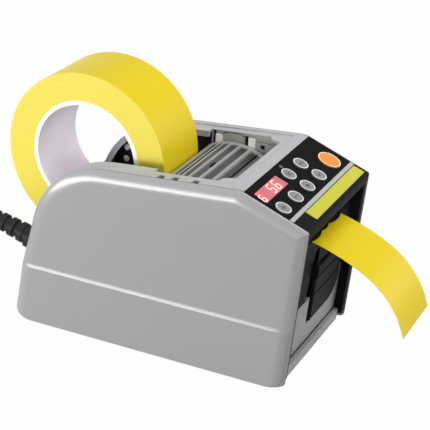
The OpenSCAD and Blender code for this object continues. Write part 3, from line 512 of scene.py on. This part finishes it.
class DISPENSER_OT_lead(bpy.types.Operator):
    """Mains lead with its boot, tie and plug"""

    bl_idname = "dispenser.lead"
    bl_label = "Mains lead"

    def execute(self, context):
        # PVC jacket, extruded: soft dark sheen, faint drawing marks
        jacket = finish("PVC jacket, extruded", linear("#1c1c1d"), 0.42, grain=1.2, depth=0.05, shade=0.12,
                        shine=0.2)
        route = lead_route()
        curve = bpy.data.curves.new("mains_lead", "CURVE")
        curve.dimensions = "3D"
        line = curve.splines.new("POLY")
        line.points.add(len(route) - 1)
        for point, at in zip(line.points, route):
            point.co = (*(at * MM), 1)
        line.use_smooth = True
        curve.bevel_depth = context.scene.dispenser_sizes.cord / 2
        curve.bevel_resolution = 4
        curve.use_fill_caps = True
        lead = piece("mains_lead", curve, "housing", jacket, slot="cord_black",
                     replaces=("cord_lead", "cord_coil"))
        # Flexible PVC, moulded: the boot and plug are a little rougher than the jacket
        moulded = finish("Flexible PVC, moulded", linear("#202021"), 0.5, grain=0.9, depth=0.05, shade=0.1,
                         edge=0.5, shine=0.15)
        dress(moulded, "cord_boot", "plug_body")
        # Nylon tie, moulded: matt black
        nylon = finish("Nylon, black", linear("#1f1f20"), 0.6, grain=0.8, depth=0.04, edge=0.4)
        dress(nylon, "coil_tie")
        # Brass, drawn: warm bright metal with fine lines along the pins
        brass = finish("Brass, drawn", linear("#c9a659"), 0.28, grain=0.6, depth=0.01, metallic=1.0,
                       stretch=(1, 0.1, 1))
        dress(brass, "plug_pins")
        return {"FINISHED"}


# Covers

# x of a cover's inner rim, depth of the cover out from it, and thickness of its wall
COVER_IN, COVER_DEPTH, COVER_WALL = 54.4, 4.6, 2.5
# floor of the hollow behind the cover: x, and gap to the outline
HOLLOW_X, HOLLOW_GAP = 56.4, 9.2
RIM_STEP, RIM_GAP = 0.4, 0.2
# edge of a cover from its inner rim to its face, rounded all the way: mm out and mm in from the outline
EDGE = ((0.2, 0.0), (0.55, 0.1), (0.95, 0.35), (1.3, 0.7), (1.62, 1.1), (1.95, 1.55), (2.3, 2.07),
        (2.62, 2.6), (2.92, 3.15), (3.2, 3.73), (3.45, 4.33), (3.68, 4.95), (3.9, 5.6), (4.1, 6.3),
        (4.27, 7.0), (4.41, 7.8), (4.51, 8.7), (4.57, 9.6), (4.6, 10.5))
# below CREASE_TOP what lies further out than FLARE_FROM flares out to the crease, to stand SKIRT proud
SKIRT = 0.8
CREASE_TOP, CREASE = 48.8, 45.0
FLARE_FROM, FLARE_BEND = 56.5, 0.5
# heights at which the face is cut, so that it can flare and stay sharp at the crease
CREASE_ROWS = (48.8, 48.3, 47.9, 47.5, 47.1, 46.7, 46.3, 45.9, 45.5, 45.2, 45.0, 44.9, 44.5)
# screw posts behind the covers: y, z; x of their middle, radius, length
COVER_POSTS = ((-55, 25), (95, 25), (93.5, 102), (94, 93))
POST_X, POST_R, POST_LEN = 53.3, 4, 8.2


def flare(low):
    """Share of the skirt's depth at the share low of the way down to the crease: curved, then straight."""
    straight = 1 / (1 - FLARE_BEND / 2)
    if low < FLARE_BEND:
        return straight * low * low / (2 * FLARE_BEND)
    return straight * (low - FLARE_BEND / 2)


def cover_mesh(name, sign):
    """A hollow cover: rounded edge, face, and a skirt that stands proud below the crease."""
    bm = bmesh.new()
    floor = FOOT + COVER_WALL

    def ring(x, gap, low=FOOT):
        return [bm.verts.new((sign * x, p.x, p.y)) for p in side_ring(gap, low)]
    rings = [ring(HOLLOW_X, HOLLOW_GAP, floor), ring(COVER_IN + RIM_STEP, COVER_WALL, floor),
             ring(COVER_IN, COVER_WALL, floor), ring(COVER_IN, RIM_GAP)]
    rings += [ring(COVER_IN + out, gap) for out, gap in EDGE]
    loft(bm, rings)
    bm.faces.new(rings[0])
    bm.faces.new(rings[-1])
    bmesh.ops.remove_doubles(bm, verts=bm.verts, dist=1e-4)
    for z in CREASE_ROWS:
        bmesh.ops.bisect_plane(bm, geom=bm.verts[:] + bm.edges[:] + bm.faces[:], dist=1e-5,
                               plane_co=(0, 0, z), plane_no=(0, 0, 1))
    for vert in bm.verts:
        reach = (abs(vert.co.x) - COVER_IN) / COVER_DEPTH
        if abs(vert.co.x) > FLARE_FROM:
            low = min(max((CREASE_TOP - vert.co.z) / (CREASE_TOP - CREASE), 0), 1)
            vert.co.x += sign * SKIRT * reach * flare(low)
    for y, z in COVER_POSTS:
        pin(bm, (sign * POST_X, y, z), POST_R, POST_LEN)
    bmesh.ops.scale(bm, vec=(MM, MM, MM), verts=bm.verts)
    return to_mesh(bm, name, 13)


class DISPENSER_OT_covers(bpy.types.Operator):
    """The two side covers"""

    bl_idname = "dispenser.covers"
    bl_label = "Side covers"

    def execute(self, context):
        tones = context.scene.dispenser_colours
        # ABS, spark-eroded mould: satin grey with a fine even grain, drawn coarser than real to show
        abs_grey = finish("ABS, moulded grey", tones.cover, 0.24, grain=1.1, depth=0.003, shade=0.02,
                          patch=45, spread=0.02, shine=0.65)
        for side, sign in (("left", -1), ("right", 1)):
            name = "cover_" + side
            piece(name, cover_mesh(name, sign), "housing", abs_grey, slot="cover_grey",
                  replaces=("side_" + name,))
        return {"FINISHED"}


# Case and base

class DISPENSER_OT_case(bpy.types.Operator):
    """Case, base, rear panel, lower wall and feet"""

    bl_idname = "dispenser.case"
    bl_label = "Case and base"

    def execute(self, context):
        tones = context.scene.dispenser_colours
        # ABS with a coarser sparkle: small lights and darks along the deck and rails
        sparkle = finish("ABS, coarse moulded grey", tones.case, 0.36, grain=0.9, depth=0.14, patch=20,
                         ior=1.53, edge=0.7)
        dress(sparkle, "top_case", "rear_panel")
        # ABS, moulded: the base is a flatter, duller grey
        base = finish("ABS, moulded base grey", linear("#97989a"), 0.5, depth=0.05, patch=25, ior=1.53,
                      edge=0.5)
        dress(base, "base_tray", "front_lower_panel")
        # Rubber, moulded: matt, dusty
        rubber = finish("Rubber, moulded", linear("#232323"), 0.75, grain=0.8, depth=0.06, shade=0.15,
                        edge=0.4)
        dress(rubber, "rubber_feet")
        return {"FINISHED"}


# Front

# three small holes near the hinge of the door, drawn as discs of painted shade: x and height on its face,
# radius, start and end of depth
DOOR_HOLES = ((-1.4, 62.5), (-1.6, 52.5), (-1.6, 38.5))
HOLE_R, HOLE_LOW, HOLE_HIGH = 0.6, 1.3, 1.53


class DISPENSER_OT_front(bpy.types.Operator):
    """Black front cover, strip, front panel and cutter door"""

    bl_idname = "dispenser.front"
    bl_label = "Front"

    def execute(self, context):
        tones = context.scene.dispenser_colours
        # Black ABS, moulded: dark satin, edges catch light
        black = finish("ABS, moulded black", tones.black, 0.45, depth=0.04, shade=0.1, patch=20,
                       shine=0.015, edge=0.5)
        dress(black, "front_cover", "front_panel", "cutter_door", "well_tray")
        # Painted shade: near-black discs set in the door in place of the shade in its small holes
        hole = finish("Painted shade, door holes", linear("#070707"), 0.8, depth=0.01, shade=0.1, shine=0.05)
        bm = bmesh.new()
        upright = ON_FRONT @ Matrix.Rotation(math.pi / 2, 4, "X")
        for x, z in DOOR_HOLES:
            prism(bm, circle(x, z, HOLE_R, 16), upright, HOLE_LOW, HOLE_HIGH)
        piece("door_holes", to_mesh(bm, "door_holes"), "door", hole, slot="black_plastic")
        # Polyester film, printed yellow: smooth, slightly glossy
        yellow = finish("Polyester film, printed yellow", tones.label, 0.35, grain=2.0, depth=0.004,
                        patch=12, shine=0.3)
        dress(yellow, "label_strip")
        return {"FINISHED"}


# Keypad

# small keys: x and way down the deck, and the sign on each
KEYS = {"up_key": (14.2, 11.2, "up"), "function_key": (-6.2, 11.2, "cross"),
        "down_key": (14.0, 25.7, "down"), "set_key": (-6.3, 25.7, "dot"),
        "minus_key": (-26.2, 25.7, "minus"), "plus_key": (-46.0, 25.7, "plus")}
KEY_R, KEY_TOP, KEY_STEPS = 5.5, 0.8, 40
START_AT, START_R, START_STEPS = (39.2, -23.0), 8.35, 56
# print sinks a little into what it is on, and a ring stays a little inside its key's edge
PRINT_SINK, RING_INSET = 0.01, 0.02
# signs: place and length and width of the bars
HEAD_X, HEAD_Y, HEAD_SLANT, HEAD_BAR = 0.95, 0.1, math.radians(42), (3.0, 0.7)
CROSS_SLANT, CROSS_BAR = math.radians(45), (5.2, 0.65)
LINE_BAR = (4.0, 0.75)
DOT_R = 1.5
LENS_AT, LENS_R = (-2.4, -3.6), 1.5
# glow of the window from its left to its right end: share of the way and strength
GLOW_X = (-53.0, -16.0)
GLOW = ((0.02, 0.42), (0.16, 0.4), (0.28, 0.16), (0.42, 0.2), (0.52, 0.4), (0.78, 0.42), (0.9, 0.12),
        (0.98, 0.08))
# bars lit for each digit: top, upper right, lower right, bottom, lower left, upper left, middle
DIGITS = {5: "1011011", 6: "1011111"}
# digits on show: value, x, y, height, width on the deck
LIT = ((6, -48.7, -11.7, 6.2, 3.4), (5, -32.9, -10.6, 7.7, 4.2), (6, -25.4, -10.6, 7.7, 4.2))
LIT_STRENGTH = 0.9
DIGIT_BAR, DIGIT_GAP, DIGIT_SLANT = 0.95, 0.25, 0.12
DIGIT_LOW, DIGIT_HIGH = 0.04, 0.05


def bar(x, y, long, wide, turn):
    """Corners of a bar about x, y."""
    c, s = math.cos(turn), math.sin(turn)
    return [(x + c * u - s * v, y + s * u + c * v) for u, v in
            ((-long / 2, -wide / 2), (long / 2, -wide / 2), (long / 2, wide / 2), (-long / 2, wide / 2))]


def sign_shapes(kind):
    """Shapes of a plain sign on a key, in mm about its middle."""
    return {
        "up": [bar(-HEAD_X, HEAD_Y, *HEAD_BAR, HEAD_SLANT), bar(HEAD_X, HEAD_Y, *HEAD_BAR, -HEAD_SLANT)],
        "down": [bar(-HEAD_X, -HEAD_Y, *HEAD_BAR, -HEAD_SLANT),
                 bar(HEAD_X, -HEAD_Y, *HEAD_BAR, HEAD_SLANT)],
        "cross": [bar(0, 0, *CROSS_BAR, CROSS_SLANT), bar(0, 0, *CROSS_BAR, -CROSS_SLANT)],
        "minus": [bar(0, 0, *LINE_BAR, 0)],
        "plus": [bar(0, 0, *LINE_BAR, 0), bar(0, 0, *LINE_BAR, math.pi / 2)],
        "dot": [circle(0, 0, DOT_R, 20)],
    }[kind]


def digit_bars(value, x, y, wide, tall):
    """Bars of a plain seven-bar digit about x, y."""
    w, h = wide / 2, tall / 2
    spots = [(0, h, 0), (w, h / 2, 1), (w, -h / 2, 1), (0, -h, 0), (-w, -h / 2, 1), (-w, h / 2, 1),
             (0, 0, 0)]
    out = []
    for lit, (dx, dy, upright) in zip(DIGITS[value], spots):
        if lit == "1":
            long = (h if upright else wide) - DIGIT_GAP
            turn = math.pi / 2 - DIGIT_SLANT if upright else 0
            out.append(bar(x + dx + dy * DIGIT_SLANT, y + dy, long, DIGIT_BAR, turn))
    return out


def key_ring(key, at, radius, wide, top, material, steps):
    """The light ring printed round the top of a key."""
    bm = bmesh.new()
    ring_prism(bm, at, radius - wide, radius - RING_INSET, ON_DECK, KEY_TOP - PRINT_SINK, top, steps)
    piece(key + "_ring", to_mesh(bm, key + "_ring"), key, material, slot="button_grey")


class DISPENSER_OT_keypad(bpy.types.Operator):
    """Keypad film, keys with their signs, and display"""

    bl_idname = "dispenser.keypad"
    bl_label = "Keypad"

    def execute(self, context):
        tones = context.scene.dispenser_colours
        sizes = context.scene.dispenser_sizes
        # Polycarbonate film: fine matt print
        film = finish("Polycarbonate film, black", tones.film, 0.4, grain=0.9, depth=0.02, shade=0.12,
                      patch=15, edge=0.3, shine=0.012)
        dress(film, "keypad_panel")
        # Printed keycaps: even satin with soft edges
        grey = finish("Keycap, printed grey", tones.key, 0.45, grain=0.9, depth=0.02, shade=0.06, patch=6,
                      edge=0.4)
        orange = finish("Keycap, printed orange", tones.start, 0.42, grain=0.9, depth=0.02, patch=8,
                        edge=0.4)
        # Screen-printed ink: flat, with a slight unevenness
        ring = finish("Ink, printed light grey", linear("#dededc"), 0.5, depth=0.005, patch=5)
        ink = finish("Ink, printed dark", tones.mark, 0.5, depth=0.005, shade=0.1, patch=5)
        thick = sizes.print_t / MM
        wide = sizes.ring_w / MM
        top = KEY_TOP + thick
        for key, (x, s, kind) in KEYS.items():
            dress(grey, key.replace("_key", "_button"))
            key_ring(key, (x, -s), KEY_R, wide, top, ring, KEY_STEPS)
            bm = bmesh.new()
            at = ON_DECK @ Matrix.Translation((x, -s, 0))
            for shape in sign_shapes(kind):
                prism(bm, shape, at, KEY_TOP - PRINT_SINK, top)
            piece(key + "_sign", to_mesh(bm, key + "_sign"), key, ink, slot="keypad_black")
        dress(orange, "start_button")
        key_ring("start_key", START_AT, START_R, wide, top, ring, START_STEPS)

        # Acrylic, smoke grey: the small round window of the indicator lamp, unlit
        lens = finish("Acrylic, smoke grey", linear("#474749"), 0.3, depth=0.003, shade=0.1, patch=4)
        bm = bmesh.new()
        prism(bm, circle(*LENS_AT, LENS_R, 28), ON_DECK, -PRINT_SINK, thick)
        piece("indicator_lens", to_mesh(bm, "indicator_lens"), "housing", lens, slot="keypad_black")

        # Acrylic filter over lit digits: deep red, glossy, glowing
        glass = finish("Acrylic, red display", linear("#b4606a"), 0.2, depth=0.003, shade=0.1, patch=6)
        tree = glass.node_tree
        shader = tree.nodes["Principled BSDF"]
        shader.inputs["Emission Color"].default_value = rgba(tones.glow)
        place = add(tree, "ShaderNodeTexCoord").outputs["Object"]
        across = add(tree, "ShaderNodeSeparateXYZ", {"Vector": place}).outputs["X"]
        along = add(tree, "ShaderNodeMapRange", {"Value": across, "From Min": GLOW_X[0] * MM,
                                                 "From Max": GLOW_X[1] * MM})
        glow = add(tree, "ShaderNodeValToRGB", {"Fac": along.outputs["Result"]})
        stops = glow.color_ramp.elements
        for at, level in GLOW:
            stops.new(at).color = (level, level, level, 1)
        # the ramp's own two stops are at its ends
        for end in (-1, 0):
            stops.remove(stops[end])
        tree.links.new(glow.outputs["Color"], shader.inputs["Emission Strength"])
        dress(glass, "display_window")
        # Light-emitting diodes behind the filter: warm, brighter than the window
        lit = finish("Diodes, lit", linear("#8a6a60"), 0.4, depth=0.003, shade=0.03, patch=5)
        shader = lit.node_tree.nodes["Principled BSDF"]
        shader.inputs["Emission Color"].default_value = rgba(linear("#ffead4"))
        shader.inputs["Emission Strength"].default_value = LIT_STRENGTH
        bm = bmesh.new()
        for value, x, y, tall, broad in LIT:
            for shape in digit_bars(value, x, y, broad, tall):
                prism(bm, shape, ON_DECK, DIGIT_LOW, DIGIT_HIGH + thick)
        piece("display_digits", to_mesh(bm, "display_digits"), "housing", lit, slot="display_red")
        # Fibreglass board, lacquered: uneven green with a weave
        board = finish("Fibreglass board, green", linear("#1f5a38"), 0.4, grain=1.4, depth=0.01, shade=0.2,
                       patch=3)
        dress(board, "keypad_board", "control_board", "power_board")
        return {"FINISHED"}


# Hood

# middle of the arch, its outer radius and thickness, half its width, and the depth of its side lips
HOOD_Y, HOOD_Z, HOOD_R, HOOD_T, HOOD_HALF, HOOD_LIP = 4.5, 82.0, 43.2, 2.5, 42.0, 6.0
HOOD_PIN, PIN_R, PIN_LEN = Vector((43.6, -20.5, 114.5)), 2, 5.2
# profile of the arch from rear to front: degrees from upright and depth below the outside
HOOD_PROFILE = (
    (28.6, 0.3), (27.8, 0.05), (24.4, 0.0), (22.9, 0.0), (22.4, 0.7), (21.8, 1.1), (20.0, 1.1),
    (17.8, 1.1), (17.3, 0.2), (16.8, 0.0), (14.0, 0.0), (13.95, 2.1), (12.05, 2.1), (12.0, 0.0),
    (10.9, 0.0), (10.3, 0.7), (9.6, 1.1), (8.0, 1.1), (6.2, 1.1), (5.4, 0.3), (4.6, 0.0), (3.4, 0.0),
    (2.5, 0.5), (1.6, 0.95), (0.6, 1.1), (-3.4, 1.2), (-4.3, 1.1), (-4.7, 0.2), (-5.3, 0.0),
    (-6.3, 0.0), (-7.3, 0.45), (-8.3, 0.9), (-9.4, 1.1), (-13.0, 1.2), (-14.5, 1.2), (-15.0, 0.2),
    (-15.6, 0.0), (-16.6, 0.0), (-17.8, 0.3), (-19.0, 0.75), (-20.4, 1.1), (-24.2, 1.2), (-24.25, 2.2),
    (-25.85, 2.2), (-25.9, 0.8), (-28.0, 0.8), (-28.2, 0.5), (-30.0, 0.5), (-30.3, 0.0), (-37.0, 0.0),
    (-44.0, 0.0))
# ways across the arch from its middle; past TROUGH_END a trough rises in a round end
HOOD_ACROSS = (0.0, 8.0, 16.0, 24.0, 31.0, 35.5, 36.2, 36.9, 37.6, 38.2, 38.7, 39.0, 39.2, 42.0)
TROUGH_END, TROUGH_ROUND = 35.5, 3.5
# degrees of the two narrow slots, half their length, and the depth at which the underside begins
HOOD_SLOTS = ((11.99, 14.01), (-25.91, -24.19))
SLOT_HALF, UNDER_DEPTH = 38, 2.3
# side lips: rear end and sweep in degrees, steps, inner x, depth of their top
LIP_REAR, LIP_SWEEP, LIP_STEPS, LIP_IN, LIP_TOP = 28.6, 72.6, 24, 40.4, 1
# radii between which the troughs' painted shade gives way to the ribs' grey
TROUGH_SHADE_R, RIB_UNSHADED_R = 42.2, 43.15
# small opening in a trough, drawn as a block of painted shade: degrees towards the front, half length and
# width, depths of its ends
EYE_TURN, EYE_X, EYE_Y, EYE_LOW, EYE_HIGH = 3.0, 4, 1.4, 2.0, 0.9


def on_arch(x, degrees, radius):
    """A point of the hood's arch, in mm."""
    turn = math.radians(degrees)
    return Vector((x, HOOD_Y + radius * math.sin(turn), HOOD_Z + radius * math.cos(turn)))


def hood_mesh():
    """The arch with its troughs, which end round, its side lips and its two pins."""
    bm = bmesh.new()
    spans = [-x for x in HOOD_ACROSS[:0:-1]] + list(HOOD_ACROSS)
    rows = []
    for x in spans:
        past = min(max((abs(x) - TROUGH_END) / TROUGH_ROUND, 0), 1)
        fade = math.sqrt(1 - past * past)
        rows.append([bm.verts.new(on_arch(x, a, HOOD_R - depth * fade)) for a, depth in HOOD_PROFILE])
    under = [[bm.verts.new(on_arch(x, a, HOOD_R - HOOD_T)) for a, _ in HOOD_PROFILE]
             for x in (spans[0], spans[-1])]
    around = rows + under[::-1] + rows[:1]
    for low, high in zip(around, around[1:]):
        strip(bm, low, high)
    for end in (0, -1):
        bm.faces.new([row[end] for row in rows] + [under[1][end], under[0][end]])
    angles = [LIP_REAR - LIP_SWEEP * i / LIP_STEPS for i in range(LIP_STEPS + 1)]
    lip_out = HOOD_HALF - 0.01
    for side in (-1, 1):
        sheet = [[bm.verts.new(on_arch(side * x, a, HOOD_R - depth)) for a in angles]
                 for x, depth in ((LIP_IN, LIP_TOP), (lip_out, LIP_TOP), (lip_out, HOOD_LIP),
                                  (LIP_IN, HOOD_LIP))]
        for k in range(4):
            strip(bm, sheet[k], sheet[(k + 1) % 4])
        for end in (0, -1):
            bm.faces.new([line[end] for line in sheet])
        pin(bm, (side * HOOD_PIN.x, HOOD_PIN.y, HOOD_PIN.z), PIN_R, PIN_LEN)
    bmesh.ops.scale(bm, vec=(MM, MM, MM), verts=bm.verts)
    mesh = to_mesh(bm, "hood_shell", 30)
    for polygon in mesh.polygons:
        y, z = polygon.center.y / MM - HOOD_Y, polygon.center.z / MM - HOOD_Z
        turn = math.degrees(math.atan2(y, z))
        in_slot = any(low <= turn <= high for low, high in HOOD_SLOTS)
        # faces deep under the outside take the underside's finish; faces in the slots take the painted
        # shade
        if math.hypot(y, z) < HOOD_R - UNDER_DEPTH:
            polygon.material_index = 2
        elif in_slot and abs(polygon.center.x) < SLOT_HALF * MM:
            polygon.material_index = 1
    return mesh


class DISPENSER_OT_hood(bpy.types.Operator):
    """Ribbed hood and the white bearing blocks beside it"""

    bl_idname = "dispenser.hood"
    bl_label = "Hood"

    def execute(self, context):
        tones = context.scene.dispenser_colours
        trough = rgba(tones.trough)

        def ribs(tree, place, tint):
            # the troughs lie deeper than the ribs, so the way to the arch's middle tells them apart; the
            # troughs are painted darker as shade
            far = from_axis(tree, place, (0, HOOD_Y * MM, HOOD_Z * MM))
            share = add(tree, "ShaderNodeMapRange", {"Value": far, "From Min": TROUGH_SHADE_R * MM,
                                                     "From Max": RIB_UNSHADED_R * MM})
            return add(tree, "ShaderNodeMix", {"Factor": share.outputs[0], MIX_A: trough, MIX_B: tint},
                       data_type="RGBA").outputs[MIX_OUT]
        # ABS, mid grey; the troughs carry a painted shade, darker than the ribs
        shell = finish("ABS, ribbed grey, painted trough shade", tones.hood, 0.38, depth=0.03, patch=12, shine=0.4, edge=0.2,
                       pattern=ribs)
        bm = bmesh.new()
        place = Matrix.Translation((0, HOOD_Y, HOOD_Z)) @ Matrix.Rotation(math.radians(EYE_TURN), 4, "X")
        prism(bm, [(-EYE_X, -EYE_Y), (EYE_X, -EYE_Y), (EYE_X, EYE_Y), (-EYE_X, EYE_Y)], place,
              HOOD_R - EYE_LOW, HOOD_R - EYE_HIGH)
        # Painted shade: a near-black finish on the block in the small opening and on the faces of the
        # slots, in place of their shade
        dark = finish("Painted shade, hood openings", linear("#0b0b0b"), 0.8, depth=0.01, shade=0.1, shine=0.05)
        piece("hood_eye", to_mesh(bm, "hood_eye"), "hood", dark, slot="hood_grey")
        # ABS, moulded: the underside is plain, without the troughs' shade
        plain = finish("ABS, hood underside grey", tones.hood, 0.5, depth=0.03, patch=12, shine=0.3)
        piece("hood_shell", hood_mesh(), "hood", shell, dark, plain, slot="hood_grey", replaces=("hood",))
        # Acetal, moulded: waxy white
        acetal = finish("Acetal, white", linear("#ffffff"), 0.38, depth=0.02, shade=0.03, patch=8, edge=0.4)
        dress(acetal, "bearing_blocks", "guide_roller_rear", "guide_roller_front", "feed_gear")
        return {"FINISHED"}


# Tape

# middle of the roll, its radius, the core's radii, and half the tape's width
ROLL = Vector((0, 87.5, 120.0))
ROLL_R, CORE_OUT, CORE_IN, TAPE_HALF = 61.0, 41.4, 38.0, 25.4
ROLL_STEPS, CORE_STEPS = 192, 144
# how far a layer may lie back on the side of the roll, and the draw's seed
UNEVEN, SEED = 0.07, 7
# rings in the tone of the wound edges: spacing, part of the noise used, strength and darkening
TONE_STEP, TONE_LOW, TONE_HIGH, TONE_SHARE, TONE_GAIN = 0.9, 0.35, 0.65, 0.12, 0.72
# half of the core's profile: way in from its end and radius
CORE_PROFILE = ((0.3, CORE_IN), (0, CORE_IN + 0.4), (0, CORE_OUT - 0.3), (0.2, CORE_OUT - 0.05))
# the liner is what lies this near the bore and this far from the ends
LINER_DEPTH, LINER_END = 0.1, 0.5


class DISPENSER_OT_tape(bpy.types.Operator):
    """Roll, core, web and the length of tape in front"""

    bl_idname = "dispenser.tape"
    bl_label = "Tape"

    def execute(self, context):
        tones = context.scene.dispenser_colours

        def windings(tree, place, tint):
            # layers of the winding: thin darker and lighter rings about the roll's axis
            far = from_axis(tree, place, ROLL * MM)
            turns = add(tree, "ShaderNodeTexNoise", {"W": far, "Scale": 1 / (TONE_STEP * MM),
                                                     "Detail": 2.0}, noise_dimensions="1D")
            share = add(tree, "ShaderNodeMapRange", {"Value": turns.outputs["Fac"], "From Min": TONE_LOW,
                                                     "From Max": TONE_HIGH, "To Min": 0.0,
                                                     "To Max": TONE_SHARE})
            return add(tree, "ShaderNodeMix", {"Factor": share.outputs[0], MIX_A: tint,
                                               MIX_B: rgba(tones.rim, TONE_GAIN)},
                       data_type="RGBA").outputs[MIX_OUT]
        # PVC film wound edge to edge: satin face with faint rings
        edge_film = finish("PVC film, wound edges", tones.rim, 0.5, grain=0.9, depth=0.01, shade=0.02,
                           patch=30, pattern=windings, shine=0.4)
        # PVC film: smooth, soft gloss
        film = finish("PVC film, yellow", tones.tape, 0.36, grain=3.0, depth=0.006, shade=0.02, patch=35,
                      shine=0.12)
        draw = random.Random(SEED)
        step = context.scene.dispenser_sizes.winding / MM
        count = int((ROLL_R - CORE_OUT) / step)
        radii = [CORE_OUT + (ROLL_R - CORE_OUT) * i / count for i in range(count + 1)]
        face = [draw.uniform(-UNEVEN, 0.0) for _ in radii]
        left = [(-TAPE_HALF - e, r) for e, r in zip(face, radii)]
        right = [(TAPE_HALF + e, r) for e, r in zip(face, radii)]
        bm = bmesh.new()
        lathe(bm, left + right[::-1], ROLL, ROLL_STEPS)
        mesh = to_mesh(bm, "tape_winding", 50)
        for polygon in mesh.polygons:
            polygon.material_index = 0 if abs(polygon.normal.x) > 0.5 else 1
        piece("tape_winding", mesh, "roll", edge_film, film, slot="tape_yellow", replaces=("tape_roll",))
        # Paper core, wound and cut: pale fibrous edge
        paper = finish("Paper core, cut edge", tones.core, 0.7, grain=0.8, depth=0.04, shade=0.04, patch=4)
        # Paper liner inside the core: smoother, faintly lavender
        liner = finish("Paper core, liner", linear("#fbf3fd"), 0.6, grain=1.2, depth=0.03, patch=9)
        bm = bmesh.new()
        left = [(-TAPE_HALF + back, r) for back, r in CORE_PROFILE]
        right = [(TAPE_HALF - back, r) for back, r in CORE_PROFILE]
        lathe(bm, left + right[::-1], ROLL, CORE_STEPS)
        mesh = to_mesh(bm, "paper_core", 35)
        for polygon in mesh.polygons:
            centre = polygon.center / MM
            radius = math.hypot(centre.y - ROLL.y, centre.z - ROLL.z)
            inside = radius < CORE_IN + LINER_DEPTH and abs(centre.x) < TAPE_HALF - LINER_END
            polygon.material_index = 1 if inside else 0
        piece("paper_core", mesh, "roll", paper, liner, slot="core_card", replaces=("tape_core",))
        dress(film, "tape_web", "tape_tongue")
        return {"FINISHED"}


# Inside

class DISPENSER_OT_inside(bpy.types.Operator):
    """Frames, rollers, drive, cutter and screws"""

    bl_idname = "dispenser.inside"
    bl_label = "Inside"

    def execute(self, context):
        # Powder-coated steel plate: dark, slightly pebbled
        plate = finish("Steel plate, powder-coated black", linear("#121213"), 0.48, grain=0.9, depth=0.05,
                       shade=0.12, edge=0.3, shine=0.1)
        dress(plate, "frame_plate_left", "frame_plate_right")
        # Steel, ground: fine lines round the shafts
        steel = finish("Steel, ground", linear("#b9bbbe"), 0.3, grain=0.5, depth=0.006, shade=0.06,
                       metallic=1.0, edge=0.3, stretch=(3, 0.3, 0.3))
        dress(steel, "cover_screws", "support_roller_front", "support_roller_rear", "feed_shaft",
              "pinch_shaft", "motor_pinion", "feed_motor", "cutter_motor", "cutter_rods",
              "board_screws", "cutter_cam", "door_pin")
        # Blade steel, ground: brighter, with lines along the grind
        blade = finish("Blade steel, ground", linear("#c8cacc"), 0.22, grain=0.5, depth=0.004,
                       metallic=1.0, stretch=(0.2, 1, 3))
        dress(blade, "fixed_blade", "moving_blade")
        # Zinc, die cast: dull grey metal with a cast skin
        zinc = finish("Zinc, die cast", linear("#54555a"), 0.5, grain=0.9, depth=0.04, shade=0.1,
                      metallic=0.9, edge=0.4)
        dress(zinc, "blade_carrier", "cutter_bridges")
        # Silicone rubber, moulded: matt and dark, for grip
        silicone = finish("Silicone rubber, dark", linear("#2b2b2b"), 0.7, grain=0.8, depth=0.05,
                          shade=0.12, edge=0.3)
        dress(silicone, "feed_sleeve", "pinch_sleeve")
        return {"FINISHED"}


# Add-on

OPERATORS = (DISPENSER_OT_stage, DISPENSER_OT_lead, DISPENSER_OT_covers, DISPENSER_OT_case,
             DISPENSER_OT_front, DISPENSER_OT_keypad, DISPENSER_OT_hood, DISPENSER_OT_tape,
             DISPENSER_OT_inside)


class DISPENSER_PT_panel(bpy.types.Panel):
    """Lists the pieces"""

    bl_idname = "DISPENSER_PT_panel"
    bl_label = "Tape dispenser"
    bl_space_type = "VIEW_3D"
    bl_region_type = "UI"
    bl_category = "Dispenser"

    def draw(self, context):
        for group in (context.scene.dispenser_sizes, context.scene.dispenser_colours):
            for name in group.__annotations__:
                self.layout.prop(group, name)
        for operator in OPERATORS:
            self.layout.operator(operator.bl_idname)


CLASSES = (DispenserColours, DispenserSizes, *OPERATORS, DISPENSER_PT_panel)


def register():
    for cls in CLASSES:
        bpy.utils.register_class(cls)
    bpy.types.Scene.dispenser_colours = bpy.props.PointerProperty(type=DispenserColours)
    bpy.types.Scene.dispenser_sizes = bpy.props.PointerProperty(type=DispenserSizes)


def unregister():
    del bpy.types.Scene.dispenser_sizes
    del bpy.types.Scene.dispenser_colours
    for cls in reversed(CLASSES):
        bpy.utils.unregister_class(cls)


def main():
    register()
    bpy.ops.dispenser.stage()
    bpy.ops.dispenser.lead()
    bpy.ops.dispenser.covers()
    bpy.ops.dispenser.case()
    bpy.ops.dispenser.front()
    bpy.ops.dispenser.keypad()
    bpy.ops.dispenser.hood()
    bpy.ops.dispenser.tape()
    bpy.ops.dispenser.inside()
    bpy.context.view_layer.update()


if __name__ == "__main__":
    main()
